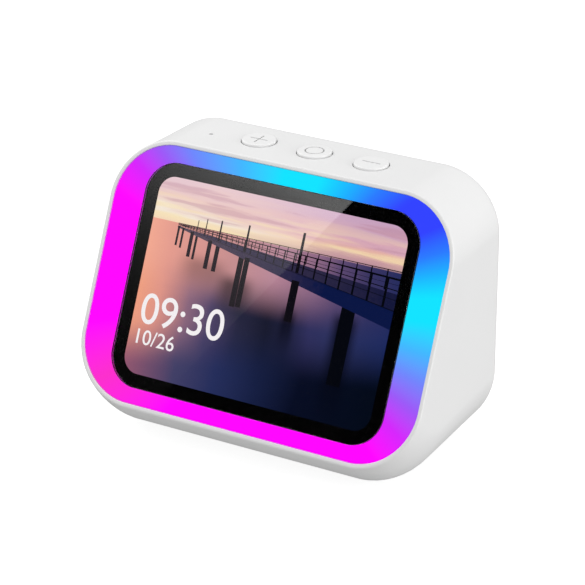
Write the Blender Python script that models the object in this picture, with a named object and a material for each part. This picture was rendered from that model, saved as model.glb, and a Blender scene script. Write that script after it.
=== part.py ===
"""Desk smart display: a white wedge-shaped case with a tilted touch screen inside a glowing ring.

The case stands on a rubber foot. Its front is tilted back and holds, from the outside in, a cover
glass set in a light ring, the display and its backlight in a tray, and a ring of LEDs. Three round
keys and a microphone sit in the top wall. A loudspeaker and the power socket face the rear cover.

Axes: +X to the right of someone facing the screen, +Y towards the back, +Z up. The origin is on
the table, under the centre of the case.
"""

import math

import bmesh
import bpy
from mathutils import Vector

MM = 0.001

# ---------------------------------------------------------------- driving dimensions
FACE_WIDTH = 100.4 * MM  # front rim, outside
FACE_HEIGHT = 70.0 * MM  # front rim, outside, measured up the tilted face
FACE_TILT = math.radians(24.0)  # from the vertical
FACE_CORNER = 17.4 * MM
TOP_DEPTH = 24.8 * MM  # level top, from the rim to the rear wall
SIDE_TAPER = 1.0 * MM  # each side comes in by this from the rim to the rear wall
REAR_CORNER = 16.6 * MM
REAR_LOW_CORNER = 19.0 * MM  # the two lower corners of the rear wall
REAR_ROUND = 5.2 * MM  # radius of the edge round the rear wall
LIP_DROP = 9.0 * MM  # the rim's lowest point above the case's underside
LIP_ANGLE = math.radians(57.0)  # slope of the underside where it leaves the rim
WALL = 2.0 * MM
RIM_WALL = 1.1 * MM
RIM_CHAMFER = 0.3 * MM
FOOT_PROUD = 1.0 * MM
FOOT_RECESS = 0.8 * MM
FOOT_WIDTH = 78.0 * MM
FOOT_LENGTH = 26.0 * MM
FOOT_CORNER = 8.0 * MM

GAP = 0.3 * MM  # between pieces that rest on each other
RING_GAP = 0.15 * MM  # round the light ring
POCKET_DEPTH = 3.5 * MM  # the rim's pocket, which takes the light ring
RING_SINK = 0.2 * MM  # light ring's surface behind the rim
RING_THICK = 3.0 * MM
GLASS_WIDTH = 80.4 * MM
GLASS_HEIGHT = 59.3 * MM
GLASS_CORNER = 8.8 * MM
GLASS_THICK = 1.2 * MM
GLASS_SINK = 0.2 * MM  # glass behind the rim
LCD_WIDTH = 75.6 * MM
LCD_HEIGHT = 54.4 * MM
LCD_CORNER = 6.0 * MM
LCD_THICK = 1.4 * MM
BACKLIGHT_THICK = 2.2 * MM
TRAY_WALL = 1.2 * MM
TRAY_FLOOR = 1.3 * MM
TRAY_DEPTH = 6.8 * MM  # the tray's floor behind the rim
LED_BOARD_THICK = 1.2 * MM
LED_BOARD_BAND = 3.0 * MM  # narrowest width of the ring-shaped board
LED_SIZE = 2.4 * MM
LED_HEIGHT = 1.4 * MM
LEDS_LONG_SIDE = 4
LEDS_SHORT_SIDE = 2

BUTTON_DIAMETER = 9.0 * MM
BUTTON_CLEARANCE = 0.2 * MM
BUTTON_PROUD = 0.6 * MM
BUTTON_SPACE = 7.5 * MM  # between two keys
BUTTON_FLANGE = 0.8 * MM  # how far the retaining flange stands out of the cap
BUTTON_FLANGE_THICK = 0.8 * MM
BUTTON_STEM = 1.2 * MM
BUTTON_TRAVEL = 0.5 * MM
BUTTON_BACK = 11.0 * MM  # key centres behind the top of the rim
KEY_MIDDLE = 1.0 * MM  # centre key right of the centre line
ICON_SIZE = 5.2 * MM
ICON_LINE = 0.5 * MM
ICON_DEPTH = 0.2 * MM
SWITCH_SIZE = 6.0 * MM
SWITCH_HEIGHT = 3.0 * MM
PLUNGER_DIAMETER = 3.0 * MM
PLUNGER_HEIGHT = 1.0 * MM  # above the switch
PLUNGER_ENTRY = 0.5 * MM  # further down, into the switch
KEY_BOARD_THICK = 1.2 * MM
KEY_BOARD_DEPTH = 9.0 * MM
MIC_HOLE = 1.0 * MM
MIC_X = -28.9 * MM
MIC_FORWARD = 1.9 * MM  # microphone ahead of the key centres

SCREW_SHANK = 2.0 * MM
SCREW_HEAD = 3.8 * MM
SCREW_HEAD_HEIGHT = 1.1 * MM
SCREW_CLEARANCE = 0.3 * MM
FRAME_SCREW_LENGTH = 6.0 * MM
FRAME_SCREW_UP = 22.0 * MM  # frame screws above and below the face's centre
FRAME_BOSS = 7.6 * MM
FRAME_BOSS_LENGTH = 3.0 * MM
FRAME_PAD = 5.2 * MM
FRAME_PAD_HEIGHT = 2.0 * MM
COVER_SCREW_LENGTH = 8.0 * MM
COVER_BOSS = 6.4 * MM
COVER_BOSS_LENGTH = 10.0 * MM
COVER_THICK = 2.0 * MM
COVER_SINK = 0.2 * MM
COVER_LEDGE = 3.0 * MM
COVER_LEDGE_THICK = 1.2 * MM
COVER_LEDGE_SLOPE = 0.4 * MM
COVER_SCREW_EDGE = 3.8 * MM  # from the cover's rounded corner
HEAD_SINK = 1.3 * MM  # screw heads into the cover

SPEAKER_RADIUS = 19.0 * MM
SPEAKER_ABOVE_PORT = 3.3 * MM  # loudspeaker's rim above the power socket
SPEAKER_FLANGE = 1.2 * MM
CONE_RADIUS = 15.2 * MM
MAGNET_RADIUS = 11.0 * MM
MAGNET_THICK = 4.5 * MM
COIL_RADIUS = 5.2 * MM
COIL_WALL = 0.6 * MM
COIL_CLEARANCE = 0.5 * MM
CONE_TRAVEL = 0.6 * MM
GASKET_THICK = 0.9 * MM
GRILLE_HOLE = 2.2 * MM
GRILLE_PITCH = 5.2 * MM
GRILLE_RINGS = 2

USB_WIDTH = 8.94 * MM
USB_HEIGHT = 3.2 * MM
USB_LENGTH = 7.4 * MM
USB_SHELL = 0.3 * MM
USB_TONGUE = 0.7 * MM
USB_CLEARANCE = 0.35 * MM
PORT_BOARD_WIDTH = 24.0 * MM
PORT_BOARD_LENGTH = 18.0 * MM
PORT_BOARD_THICK = 1.2 * MM
PORT_BOARD_LIFT = 0.6 * MM  # above the cover's ledge

MAIN_BOARD_WIDTH = 62.0 * MM
MAIN_BOARD_HEIGHT = 34.0 * MM
MAIN_BOARD_THICK = 1.2 * MM
MAIN_BOARD_DOWN = 3.0 * MM  # board centre below the face's centre
STANDOFF_HEIGHT = 0.8 * MM
SHIELD_WIDTH = 20.0 * MM
SHIELD_HEIGHT = 16.0 * MM
SHIELD_THICK = 1.8 * MM
RIBBON_THICK = 0.3 * MM
DISPLAY_RIBBON_WIDTH = 14.0 * MM
PORT_RIBBON_WIDTH = 8.0 * MM
WIRE_DIAMETER = 1.2 * MM

CORNER_STEPS = 8  # faces in each quarter of a rounded rectangle
ROUND_STEPS = 28  # faces round a turned part

# ---------------------------------------------------------------- worked-out places
SIN_TILT = math.sin(FACE_TILT)
COS_TILT = math.cos(FACE_TILT)
CASE_DEPTH = FACE_HEIGHT * SIN_TILT + TOP_DEPTH
REAR_WIDTH = FACE_WIDTH - 2 * SIDE_TAPER
FRONT_Y = -CASE_DEPTH / 2
REAR_Y = CASE_DEPTH / 2
BASE_Z = FOOT_PROUD
RIM_BOTTOM = Vector((0, FRONT_Y, BASE_Z + LIP_DROP))
RIM_TOP = RIM_BOTTOM + FACE_HEIGHT * Vector((0, SIN_TILT, COS_TILT))
FACE_CENTRE = (RIM_BOTTOM + RIM_TOP) / 2
TOP_Z = RIM_TOP.z
LIP_RADIUS = LIP_DROP / (1 - math.cos(LIP_ANGLE))
LIP_CENTRE = Vector((0, FRONT_Y + LIP_RADIUS * math.sin(LIP_ANGLE), BASE_Z + LIP_RADIUS))

POCKET_WIDTH = FACE_WIDTH - 2 * RIM_WALL
POCKET_HEIGHT = FACE_HEIGHT - 2 * RIM_WALL
POCKET_CORNER = FACE_CORNER - RIM_WALL
TRAY_OPENING_W = LCD_WIDTH + 2 * GAP
TRAY_OPENING_H = LCD_HEIGHT + 2 * GAP
TRAY_OUTER_W = FACE_WIDTH - 2 * WALL - 2 * GAP - SIDE_TAPER
TRAY_OUTER_H = FACE_HEIGHT - 2 * WALL - 2 * GAP
TRAY_CORNER = FACE_CORNER - WALL - GAP
TRAY_REAR = TRAY_DEPTH + TRAY_FLOOR

BUTTON_PITCH = BUTTON_DIAMETER + BUTTON_SPACE
KEY_Y = RIM_TOP.y + BUTTON_BACK
KEY_X = (KEY_MIDDLE - BUTTON_PITCH, KEY_MIDDLE, KEY_MIDDLE + BUTTON_PITCH)
CEILING_Z = TOP_Z - WALL
FLANGE_TOP_Z = CEILING_Z - GAP
STEM_Z = FLANGE_TOP_Z - BUTTON_FLANGE_THICK - BUTTON_STEM
PLUNGER_TOP_Z = STEM_Z - GAP
SWITCH_TOP_Z = PLUNGER_TOP_Z - PLUNGER_HEIGHT
KEY_BOARD_TOP = SWITCH_TOP_Z - SWITCH_HEIGHT - GAP
KEY_BOARD_LEFT = MIC_X - 4.0 * MM
KEY_BOARD_RIGHT = KEY_MIDDLE + BUTTON_PITCH + SWITCH_SIZE / 2 + 4.0 * MM

COVER_OPENING_INSET = REAR_ROUND
COVER_Z = (BASE_Z + TOP_Z) / 2
COVER_WIDTH = REAR_WIDTH - 2 * (COVER_OPENING_INSET + GAP)
COVER_HEIGHT = TOP_Z - BASE_Z - 2 * (COVER_OPENING_INSET + GAP)
COVER_CORNER = REAR_CORNER - COVER_OPENING_INSET - GAP
COVER_LOW_CORNER = REAR_LOW_CORNER - COVER_OPENING_INSET - GAP
COVER_SEAT = COVER_SINK + COVER_THICK + GAP  # the shell's ledge behind the rear wall's plane
PORT_BOARD_UP = BASE_Z + COVER_OPENING_INSET + COVER_LEDGE + PORT_BOARD_LIFT
USB_Z = PORT_BOARD_UP + PORT_BOARD_THICK + GAP + USB_HEIGHT / 2
USB_FACE = COVER_SINK + COVER_THICK + GAP  # the socket's mouth behind the rear wall's plane
SPEAKER_Z = USB_Z + USB_HEIGHT / 2 + SPEAKER_ABOVE_PORT + SPEAKER_RADIUS


# ---------------------------------------------------------------- helpers
def clear_scene():
    for obj in list(bpy.data.objects):
        bpy.data.objects.remove(obj, do_unlink=True)


clear_scene()
PARTS = bpy.data.collections.new("smart_display")
CUTTERS = bpy.data.collections.new("cutters")
CUTTERS.hide_render = True
for group in (PARTS, CUTTERS):
    bpy.context.scene.collection.children.link(group)


def material(name, colour, roughness, metallic=0.0):
    made = bpy.data.materials.new(name)
    made.use_nodes = True
    shader = made.node_tree.nodes["Principled BSDF"]
    shader.inputs["Base Color"].default_value = (*colour, 1.0)
    shader.inputs["Roughness"].default_value = roughness
    shader.inputs["Metallic"].default_value = metallic
    return made


WHITE_PLASTIC = material("white_plastic", (0.86, 0.86, 0.85), 0.45)
KEY_PLASTIC = material("key_plastic", (0.90, 0.90, 0.89), 0.40)
DIFFUSER = material("diffuser", (0.85, 0.05, 0.90), 0.35)
BLACK_GLASS = material("black_glass", (0.01, 0.01, 0.012), 0.05)
DISPLAY = material("display", (0.12, 0.10, 0.22), 0.15)
FRAME_PLASTIC = material("frame_plastic", (0.05, 0.05, 0.055), 0.6)
BOARD_GREEN = material("circuit_board", (0.02, 0.16, 0.07), 0.5)
LED_WHITE = material("led_body", (0.85, 0.85, 0.80), 0.4)
STEEL = material("steel", (0.60, 0.60, 0.62), 0.3, 1.0)
FERRITE = material("ferrite", (0.09, 0.09, 0.10), 0.5, 0.4)
RUBBER = material("rubber", (0.55, 0.55, 0.56), 0.85)
BLACK_RUBBER = material("black_rubber", (0.03, 0.03, 0.03), 0.85)
PAPER = material("speaker_cone", (0.04, 0.04, 0.045), 0.8)
COPPER = material("copper", (0.72, 0.38, 0.20), 0.35, 1.0)
RIBBON = material("ribbon_cable", (0.75, 0.45, 0.10), 0.4)
RED_WIRE = material("red_wire", (0.65, 0.03, 0.03), 0.5)
BLACK_WIRE = material("black_wire", (0.02, 0.02, 0.02), 0.5)


def frame_empty(name, location, rotation):
    """An empty that carries the pieces of one plane: local X and Y in the plane, Z out of it."""
    empty = bpy.data.objects.new(name, None)
    PARTS.objects.link(empty)
    empty.location = location
    empty.rotation_euler = rotation
    return empty


# Local Z of the face frame points out of the screen, and of the others out of the back.
FACE = frame_empty("face_frame", FACE_CENTRE, (math.pi / 2 - FACE_TILT, 0, 0))
REAR = frame_empty("rear_frame", (0, REAR_Y, COVER_Z), (math.pi / 2, 0, math.pi))
SPEAKER = frame_empty("speaker_frame", (0, REAR_Y, SPEAKER_Z), (math.pi / 2, 0, math.pi))


def keep(obj, name, finish, frame=None, location=None, group=PARTS):
    """Names a new object, puts it in its collection, and gives it its material and place."""
    obj.name = name
    for holder in list(obj.users_collection):
        holder.objects.unlink(obj)
    group.objects.link(obj)
    if finish is not None:
        obj.data.materials.clear()
        obj.data.materials.append(finish)
    if frame is not None:
        obj.parent = frame
    if location is not None:
        obj.location = location
    if group is CUTTERS:
        obj.hide_render = True
        obj.display_type = "WIRE"
    return obj


def mesh_object(bm, name, finish, frame=None, location=None, group=PARTS):
    mesh = bpy.data.meshes.new(name)
    bmesh.ops.recalc_face_normals(bm, faces=bm.faces)
    bm.to_mesh(mesh)
    bm.free()
    return keep(bpy.data.objects.new(name, mesh), name, finish, frame, location, group)


def box(name, size, finish, frame=None, location=None, group=PARTS):
    bm = bmesh.new()
    bmesh.ops.create_cube(bm, size=1.0)
    bmesh.ops.scale(bm, vec=size, verts=bm.verts)
    return mesh_object(bm, name, finish, frame, location, group)


def cylinder(name, radius, depth, finish, frame=None, location=None, group=PARTS, sides=16):
    """A cylinder along local Z, centred on its location."""
    bm = bmesh.new()
    bmesh.ops.create_cone(
        bm, cap_ends=True, segments=sides, radius1=radius, radius2=radius, depth=depth
    )
    return mesh_object(bm, name, finish, frame, location, group)


def turned(
    name, profile, finish, frame=None, location=None, closed=False, steps=ROUND_STEPS, group=PARTS
):
    """Turns a profile of (radius, z) points round local Z. A closed profile is a loop, as for a ring."""
    bm = bmesh.new()
    points = [bm.verts.new((radius, 0, z)) for radius, z in profile]
    edges = [bm.edges.new(pair) for pair in zip(points, points[1:])]
    if closed:
        edges.append(bm.edges.new((points[-1], points[0])))
    bmesh.ops.spin(
        bm,
        geom=points + edges,
        axis=(0, 0, 1),
        cent=(0, 0, 0),
        angle=2 * math.pi,
        steps=steps,
        use_merge=True,
    )
    bmesh.ops.remove_doubles(bm, verts=bm.verts, dist=0.000001)
    return mesh_object(bm, name, finish, frame, location, group)


def rounded_rect(width, height, radius, steps=CORNER_STEPS, low_radius=None):
    """Points of a rounded rectangle round the origin, counter-clockwise. Its lower corners may differ."""
    radii = (radius, radius, low_radius or radius, low_radius or radius)
    points = []
    for quarter, (side_x, side_y) in enumerate(((1, 1), (-1, 1), (-1, -1), (1, -1))):
        corner = radii[quarter]
        centre_x = side_x * (width / 2 - corner)
        centre_y = side_y * (height / 2 - corner)
        for step in range(steps + 1):
            angle = math.pi / 2 * (quarter + step / steps)
            points.append((centre_x + corner * math.cos(angle), centre_y + corner * math.sin(angle)))
    return points


def circle(radius, centre=(0.0, 0.0), sides=16):
    turn = 2 * math.pi / sides
    return [
        (centre[0] + radius * math.cos(turn * i), centre[1] + radius * math.sin(turn * i))
        for i in range(sides)
    ]


def plate(name, outlines, thickness, finish, frame=None, location=None):
    """A flat piece: closed outlines in local X and Y, the first the outer one, centred on local Z."""
    curve = bpy.data.curves.new(name, "CURVE")
    curve.dimensions = "2D"
    curve.fill_mode = "BOTH"
    curve.extrude = thickness / 2
    for outline in outlines:
        spline = curve.splines.new("POLY")
        spline.points.add(len(outline) - 1)
        for point, (x, y) in zip(spline.points, outline):
            point.co = (x, y, 0, 1)
        spline.use_cyclic_u = True
    return keep(bpy.data.objects.new(name, curve), name, finish, frame, location)


def loft(name, rings, finish, frame=None, loop=False):
    """Skins rings of equal point counts. A loop joins the last ring to the first.

    Without a loop, both ends are capped.
    """
    bm = bmesh.new()
    rows = [[bm.verts.new(point) for point in ring] for ring in rings]
    pairs = list(zip(rows, rows[1:]))
    if loop:
        pairs.append((rows[-1], rows[0]))
    for low, high in pairs:
        for i in range(len(low)):
            j = (i + 1) % len(low)
            bm.faces.new((low[i], low[j], high[j], high[i]))
    if not loop:
        bm.faces.new(rows[0])
        bm.faces.new(rows[-1])
    return mesh_object(bm, name, finish, frame)


def face_ring(width, height, radius, depth):
    """A rounded rectangle parallel to the face and the given depth behind the rim, in the face frame."""
    return [(x, y, -depth) for x, y in rounded_rect(width, height, radius)]


def boolean(target, tool, operation):
    modifier = target.modifiers.new(operation.lower(), "BOOLEAN")
    modifier.operation = operation
    modifier.object = tool
    return modifier


def as_mesh(obj):
    """Replaces a curve object by its mesh, with the caps welded to the sides."""
    bpy.context.view_layer.update()
    graph = bpy.context.evaluated_depsgraph_get()
    mesh = bpy.data.meshes.new_from_object(obj.evaluated_get(graph))
    bm = bmesh.new()
    bm.from_mesh(mesh)
    bmesh.ops.remove_doubles(bm, verts=bm.verts, dist=0.000001)
    bm.to_mesh(mesh)
    bm.free()
    made = bpy.data.objects.new("made", mesh)
    place, name, finish = obj.matrix_world.copy(), obj.name, obj.data.materials[0]
    bpy.data.objects.remove(obj, do_unlink=True)
    keep(made, name, finish)
    made.matrix_world = place
    return made


# ---------------------------------------------------------------- housing shell
def case_section(bottom, top, width, corner, low_corner):
    """A rounded rectangle in the plane through the case's bottom and top lines, given as (y, z) points."""
    low = Vector((0, *bottom))
    high = Vector((0, *top))
    up = (high - low).normalized()
    middle = (low + high) / 2
    outline = rounded_rect(width, (high - low).length, corner, low_radius=low_corner)
    return [middle + Vector((x, 0, 0)) + up * y for x, y in outline]


def lip_point(angle, inset=0.0):
    """A point of the curved underside, by its slope, set in by a wall."""
    radius = LIP_RADIUS - inset
    return (LIP_CENTRE.y - radius * math.sin(angle), LIP_CENTRE.z - radius * math.cos(angle))


def taper(y):
    """Width, upper and lower corner radius of the case where its underside is at y."""
    share = (y - FRONT_Y) / CASE_DEPTH
    width = FACE_WIDTH - share * 2 * SIDE_TAPER
    corner = FACE_CORNER + share * (REAR_CORNER - FACE_CORNER)
    low_corner = FACE_CORNER + share * (REAR_LOW_CORNER - FACE_CORNER)
    return width, corner, low_corner


def face_section(width, height, corner, depth):
    """A rounded rectangle parallel to the face, the given depth behind the rim, in the world."""
    up = Vector((0, SIN_TILT, COS_TILT))
    middle = FACE_CENTRE + depth * Vector((0, COS_TILT, -SIN_TILT))
    return [middle + Vector((x, 0, 0)) + up * y for x, y in rounded_rect(width, height, corner)]


def rear_section(inset, depth):
    """A rounded rectangle parallel to the rear wall, set in from the case's outline."""
    outline = rounded_rect(
        REAR_WIDTH - 2 * inset,
        TOP_Z - BASE_Z - 2 * inset,
        REAR_CORNER - inset,
        low_radius=REAR_LOW_CORNER - inset,
    )
    return [Vector((x, REAR_Y - depth, COVER_Z + y)) for x, y in outline]


def body_rings(inset):
    """The case's wall from the rim back, along the lip and the flat underside, set in by a wall."""
    stations = 6
    top_run = 5.0 * MM  # how far the top moves back while the lip turns level
    rings = []
    for i in range(1, stations + 1):
        share = i / stations
        bottom = lip_point(LIP_ANGLE * (1 - share), inset)
        width, corner, low_corner = taper(bottom[0])
        top = (RIM_TOP.y + inset + top_run * share, TOP_Z - inset)
        rings.append(
            case_section(bottom, top, width - 2 * inset, corner - inset, low_corner - inset)
        )
    return rings


def cover_screw_places():
    """The cover's screws in the rear frame, each on the diagonal of its corner."""
    places = []
    for end, corner in ((-1, COVER_LOW_CORNER), (1, COVER_CORNER)):
        inset = corner - (corner - COVER_SCREW_EDGE) / math.sqrt(2)
        for side in (-1, 1):
            places.append((side * (COVER_WIDTH / 2 - inset), end * (COVER_HEIGHT / 2 - inset)))
    return places


def shell_rings():
    """Closed loop of sections: outside from rim to rear, then the cover's seat, then inside to the rim."""
    rings = [
        face_section(
            FACE_WIDTH - 2 * RIM_CHAMFER, FACE_HEIGHT - 2 * RIM_CHAMFER, FACE_CORNER - RIM_CHAMFER, 0
        )
    ]
    below_rim = (
        RIM_BOTTOM.y + RIM_CHAMFER * math.cos(LIP_ANGLE),
        RIM_BOTTOM.z - RIM_CHAMFER * math.sin(LIP_ANGLE),
    )
    above_rim = (RIM_TOP.y + RIM_CHAMFER, TOP_Z)
    rings.append(case_section(below_rim, above_rim, FACE_WIDTH, FACE_CORNER, FACE_CORNER))
    rings += body_rings(0.0)
    round_steps = 4
    for i in range(round_steps + 1):
        angle = math.pi / 2 * i / round_steps
        inset = REAR_ROUND * (1 - math.cos(angle))
        rings.append(rear_section(inset, REAR_ROUND * (1 - math.sin(angle))))
    rings.append(rear_section(COVER_OPENING_INSET, COVER_SEAT))
    rings.append(rear_section(COVER_OPENING_INSET + COVER_LEDGE, COVER_SEAT))
    rings.append(rear_section(COVER_OPENING_INSET + COVER_LEDGE, COVER_SEAT + COVER_LEDGE_THICK))
    rings.append(rear_section(WALL, COVER_SEAT + COVER_LEDGE_THICK + COVER_LEDGE_SLOPE))
    rings += reversed(body_rings(WALL)[1:])
    rings.append(
        face_section(
            FACE_WIDTH - 2 * WALL, FACE_HEIGHT - 2 * WALL, FACE_CORNER - WALL, POCKET_DEPTH
        )
    )
    rings.append(face_section(POCKET_WIDTH, POCKET_HEIGHT, POCKET_CORNER, POCKET_DEPTH))
    rings.append(face_section(POCKET_WIDTH, POCKET_HEIGHT, POCKET_CORNER, 0))
    return rings


def add_shell():
    shell = loft("housing_shell", shell_rings(), WHITE_PLASTIC, loop=True)
    # Bosses for the screws that pull the tray back into the case.
    boss_front = TRAY_REAR + FRAME_PAD_HEIGHT + GAP
    boss_x = TRAY_OUTER_W / 2 - FRAME_PAD / 2 - GAP
    for side in (-1, 1):
        for end in (-1, 1):
            middle = boss_front + FRAME_BOSS_LENGTH / 2
            place = (side * boss_x, end * FRAME_SCREW_UP, -middle)
            boss = cylinder("frame_boss", FRAME_BOSS / 2, FRAME_BOSS_LENGTH, None, FACE, place, CUTTERS)
            boolean(shell, boss, "UNION")
            hole = cylinder(
                "frame_hole",
                SCREW_SHANK / 2 + SCREW_CLEARANCE,
                FRAME_BOSS_LENGTH + 2 * WALL,
                None,
                FACE,
                place,
                CUTTERS,
                12,
            )
            boolean(shell, hole, "DIFFERENCE")
    # Bosses for the rear cover's screws.
    ledge_cover = 0.4 * MM
    for x, y in cover_screw_places():
        middle = COVER_SEAT + ledge_cover + COVER_BOSS_LENGTH / 2
        boss = cylinder(
            "cover_boss", COVER_BOSS / 2, COVER_BOSS_LENGTH, None, REAR, (x, y, -middle), CUTTERS
        )
        boolean(shell, boss, "UNION")
        hole = cylinder(
            "cover_boss_hole",
            SCREW_SHANK / 2 + SCREW_CLEARANCE,
            COVER_BOSS_LENGTH,
            None,
            REAR,
            (x, y, -COVER_BOSS_LENGTH / 2 - COVER_SEAT + 2 * MM),
            CUTTERS,
            12,
        )
        boolean(shell, hole, "DIFFERENCE")
    # Posts under the top wall, which hold the key board.
    post_length = CEILING_Z - KEY_BOARD_TOP - GAP
    for side in (-1, 1):
        x = KEY_MIDDLE + side * BUTTON_PITCH / 2
        post = cylinder(
            "key_post",
            2.4 * MM,
            post_length + WALL / 2,
            None,
            None,
            (x, KEY_Y, KEY_BOARD_TOP + GAP + (post_length + WALL / 2) / 2),
            CUTTERS,
        )
        boolean(shell, post, "UNION")
        depth = 5.0 * MM
        hole = cylinder(
            "key_post_hole",
            SCREW_SHANK / 2 + SCREW_CLEARANCE,
            2 * depth,
            None,
            None,
            (x, KEY_Y, KEY_BOARD_TOP + GAP),
            CUTTERS,
            12,
        )
        boolean(shell, hole, "DIFFERENCE")
    # Ribs on the floor, which carry the power socket's board.
    rib_height = PORT_BOARD_UP - GAP - BASE_Z - WALL / 2
    for side in (-1, 1):
        rib = box(
            "port_rib",
            (1.6 * MM, 14.0 * MM, rib_height),
            None,
            None,
            (side * 8.0 * MM, REAR_Y - 14.0 * MM, BASE_Z + WALL / 2 + rib_height / 2),
            CUTTERS,
        )
        boolean(shell, rib, "UNION")
    # Holes in the top wall for the keys and the microphone.
    for x in KEY_X:
        hole = cylinder(
            "key_hole",
            BUTTON_DIAMETER / 2 + BUTTON_CLEARANCE,
            4 * WALL,
            None,
            None,
            (x, KEY_Y, CEILING_Z + WALL / 2),
            CUTTERS,
            ROUND_STEPS,
        )
        boolean(shell, hole, "DIFFERENCE")
    hole = cylinder(
        "mic_hole",
        MIC_HOLE / 2,
        4 * WALL,
        None,
        None,
        (MIC_X, KEY_Y - MIC_FORWARD, CEILING_Z + WALL / 2),
        CUTTERS,
        12,
    )
    boolean(shell, hole, "DIFFERENCE")
    # Recess in the underside for the rubber foot.
    recess = plate(
        "foot_recess",
        [rounded_rect(FOOT_WIDTH + 2 * GAP, FOOT_LENGTH + 2 * GAP, FOOT_CORNER + GAP)],
        2 * FOOT_RECESS,
        WHITE_PLASTIC,
        None,
        (0, FOOT_Y, BASE_Z),
    )
    recess = as_mesh(recess)
    keep(recess, "foot_recess", None, group=CUTTERS)
    boolean(shell, recess, "DIFFERENCE")
    return shell


FOOT_Y = (LIP_CENTRE.y + REAR_Y - REAR_ROUND) / 2


def add_foot():
    thickness = FOOT_PROUD + FOOT_RECESS - GAP
    plate(
        "foot_pad",
        [rounded_rect(FOOT_WIDTH, FOOT_LENGTH, FOOT_CORNER)],
        thickness,
        RUBBER,
        None,
        (0, FOOT_Y, thickness / 2),
    )


# ---------------------------------------------------------------- screen and light ring
def add_light_ring():
    outer_w = POCKET_WIDTH - 2 * RING_GAP
    outer_h = POCKET_HEIGHT - 2 * RING_GAP
    outer_c = POCKET_CORNER - RING_GAP
    seat = GLASS_SINK + GLASS_THICK + GAP
    rear = RING_SINK + RING_THICK
    opening = (GLASS_WIDTH + 2 * RING_GAP, GLASS_HEIGHT + 2 * RING_GAP, GLASS_CORNER + RING_GAP)
    inner = (TRAY_OPENING_W, TRAY_OPENING_H, LCD_CORNER + GAP)
    rings = [
        face_ring(outer_w, outer_h, outer_c, RING_SINK),
        face_ring(outer_w, outer_h, outer_c, rear),
        face_ring(*inner, rear),
        face_ring(*inner, seat),
        face_ring(*opening, seat),
        face_ring(*opening, RING_SINK),
    ]
    loft("light_ring", rings, DIFFUSER, FACE, loop=True)


def add_display():
    plate(
        "cover_glass",
        [rounded_rect(GLASS_WIDTH, GLASS_HEIGHT, GLASS_CORNER)],
        GLASS_THICK,
        BLACK_GLASS,
        FACE,
        (0, 0, -GLASS_SINK - GLASS_THICK / 2),
    )
    lcd_front = GLASS_SINK + GLASS_THICK + GAP
    plate(
        "lcd_panel",
        [rounded_rect(LCD_WIDTH, LCD_HEIGHT, LCD_CORNER, 2)],
        LCD_THICK,
        DISPLAY,
        FACE,
        (0, 0, -lcd_front - LCD_THICK / 2),
    )
    backlight_front = lcd_front + LCD_THICK + GAP
    plate(
        "backlight_unit",
        [rounded_rect(LCD_WIDTH, LCD_HEIGHT, LCD_CORNER, 2)],
        BACKLIGHT_THICK,
        LED_WHITE,
        FACE,
        (0, 0, -backlight_front - BACKLIGHT_THICK / 2),
    )


RIBBON_SLOT_Y = -23.4 * MM


def add_tray():
    """The black tray behind the ring: a floor, a wall round the display, and pads for its screws."""
    wall_front = POCKET_DEPTH
    collar_w = TRAY_OPENING_W + 2 * TRAY_WALL
    collar_h = TRAY_OPENING_H + 2 * TRAY_WALL
    corner = LCD_CORNER + GAP
    rings = [
        face_ring(TRAY_OPENING_W, TRAY_OPENING_H, corner, TRAY_DEPTH),
        face_ring(TRAY_OPENING_W, TRAY_OPENING_H, corner, wall_front),
        face_ring(collar_w, collar_h, corner + TRAY_WALL, wall_front),
        face_ring(collar_w, collar_h, corner + TRAY_WALL, TRAY_DEPTH),
        face_ring(TRAY_OUTER_W, TRAY_OUTER_H, TRAY_CORNER, TRAY_DEPTH),
        face_ring(TRAY_OUTER_W, TRAY_OUTER_H, TRAY_CORNER, TRAY_REAR),
    ]
    tray = loft("front_tray", rings, FRAME_PLASTIC, FACE)
    pad_x = TRAY_OUTER_W / 2 - FRAME_PAD / 2 - GAP
    overlap = TRAY_FLOOR / 2
    for side in (-1, 1):
        for end in (-1, 1):
            x, y = side * pad_x, end * FRAME_SCREW_UP
            middle = TRAY_REAR + (FRAME_PAD_HEIGHT - overlap) / 2
            pad = cylinder(
                "tray_pad", FRAME_PAD / 2, FRAME_PAD_HEIGHT + overlap, None, FACE, (x, y, -middle), CUTTERS
            )
            boolean(tray, pad, "UNION")
            hole = cylinder(
                "tray_pad_hole",
                SCREW_SHANK / 2 + SCREW_CLEARANCE,
                2 * (FRAME_PAD_HEIGHT + TRAY_FLOOR) - 1.0 * MM,
                None,
                FACE,
                (x, y, -TRAY_REAR - FRAME_PAD_HEIGHT),
                CUTTERS,
                12,
            )
            boolean(tray, hole, "DIFFERENCE")
    for side in (-1, 1):
        x, y = side * MAIN_SCREW_X, MAIN_BOARD_Y
        standoff = cylinder(
            "standoff",
            2.6 * MM,
            STANDOFF_HEIGHT + overlap,
            None,
            FACE,
            (x, y, -TRAY_REAR - (STANDOFF_HEIGHT - overlap) / 2),
            CUTTERS,
        )
        boolean(tray, standoff, "UNION")
        hole = cylinder(
            "standoff_hole",
            SCREW_SHANK / 2 + SCREW_CLEARANCE,
            2 * (STANDOFF_HEIGHT + TRAY_FLOOR) - 0.8 * MM,
            None,
            FACE,
            (x, y, -TRAY_REAR - STANDOFF_HEIGHT),
            CUTTERS,
            12,
        )
        boolean(tray, hole, "DIFFERENCE")
    slot = box(
        "ribbon_slot",
        (DISPLAY_RIBBON_WIDTH + 2 * MM, RIBBON_THICK + 1.2 * MM, 4 * TRAY_FLOOR),
        None,
        FACE,
        (0, RIBBON_SLOT_Y, -TRAY_REAR),
        CUTTERS,
    )
    boolean(tray, slot, "DIFFERENCE")


MAIN_BOARD_Y = -MAIN_BOARD_DOWN
MAIN_SCREW_X = MAIN_BOARD_WIDTH / 2 - 4.0 * MM


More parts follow.
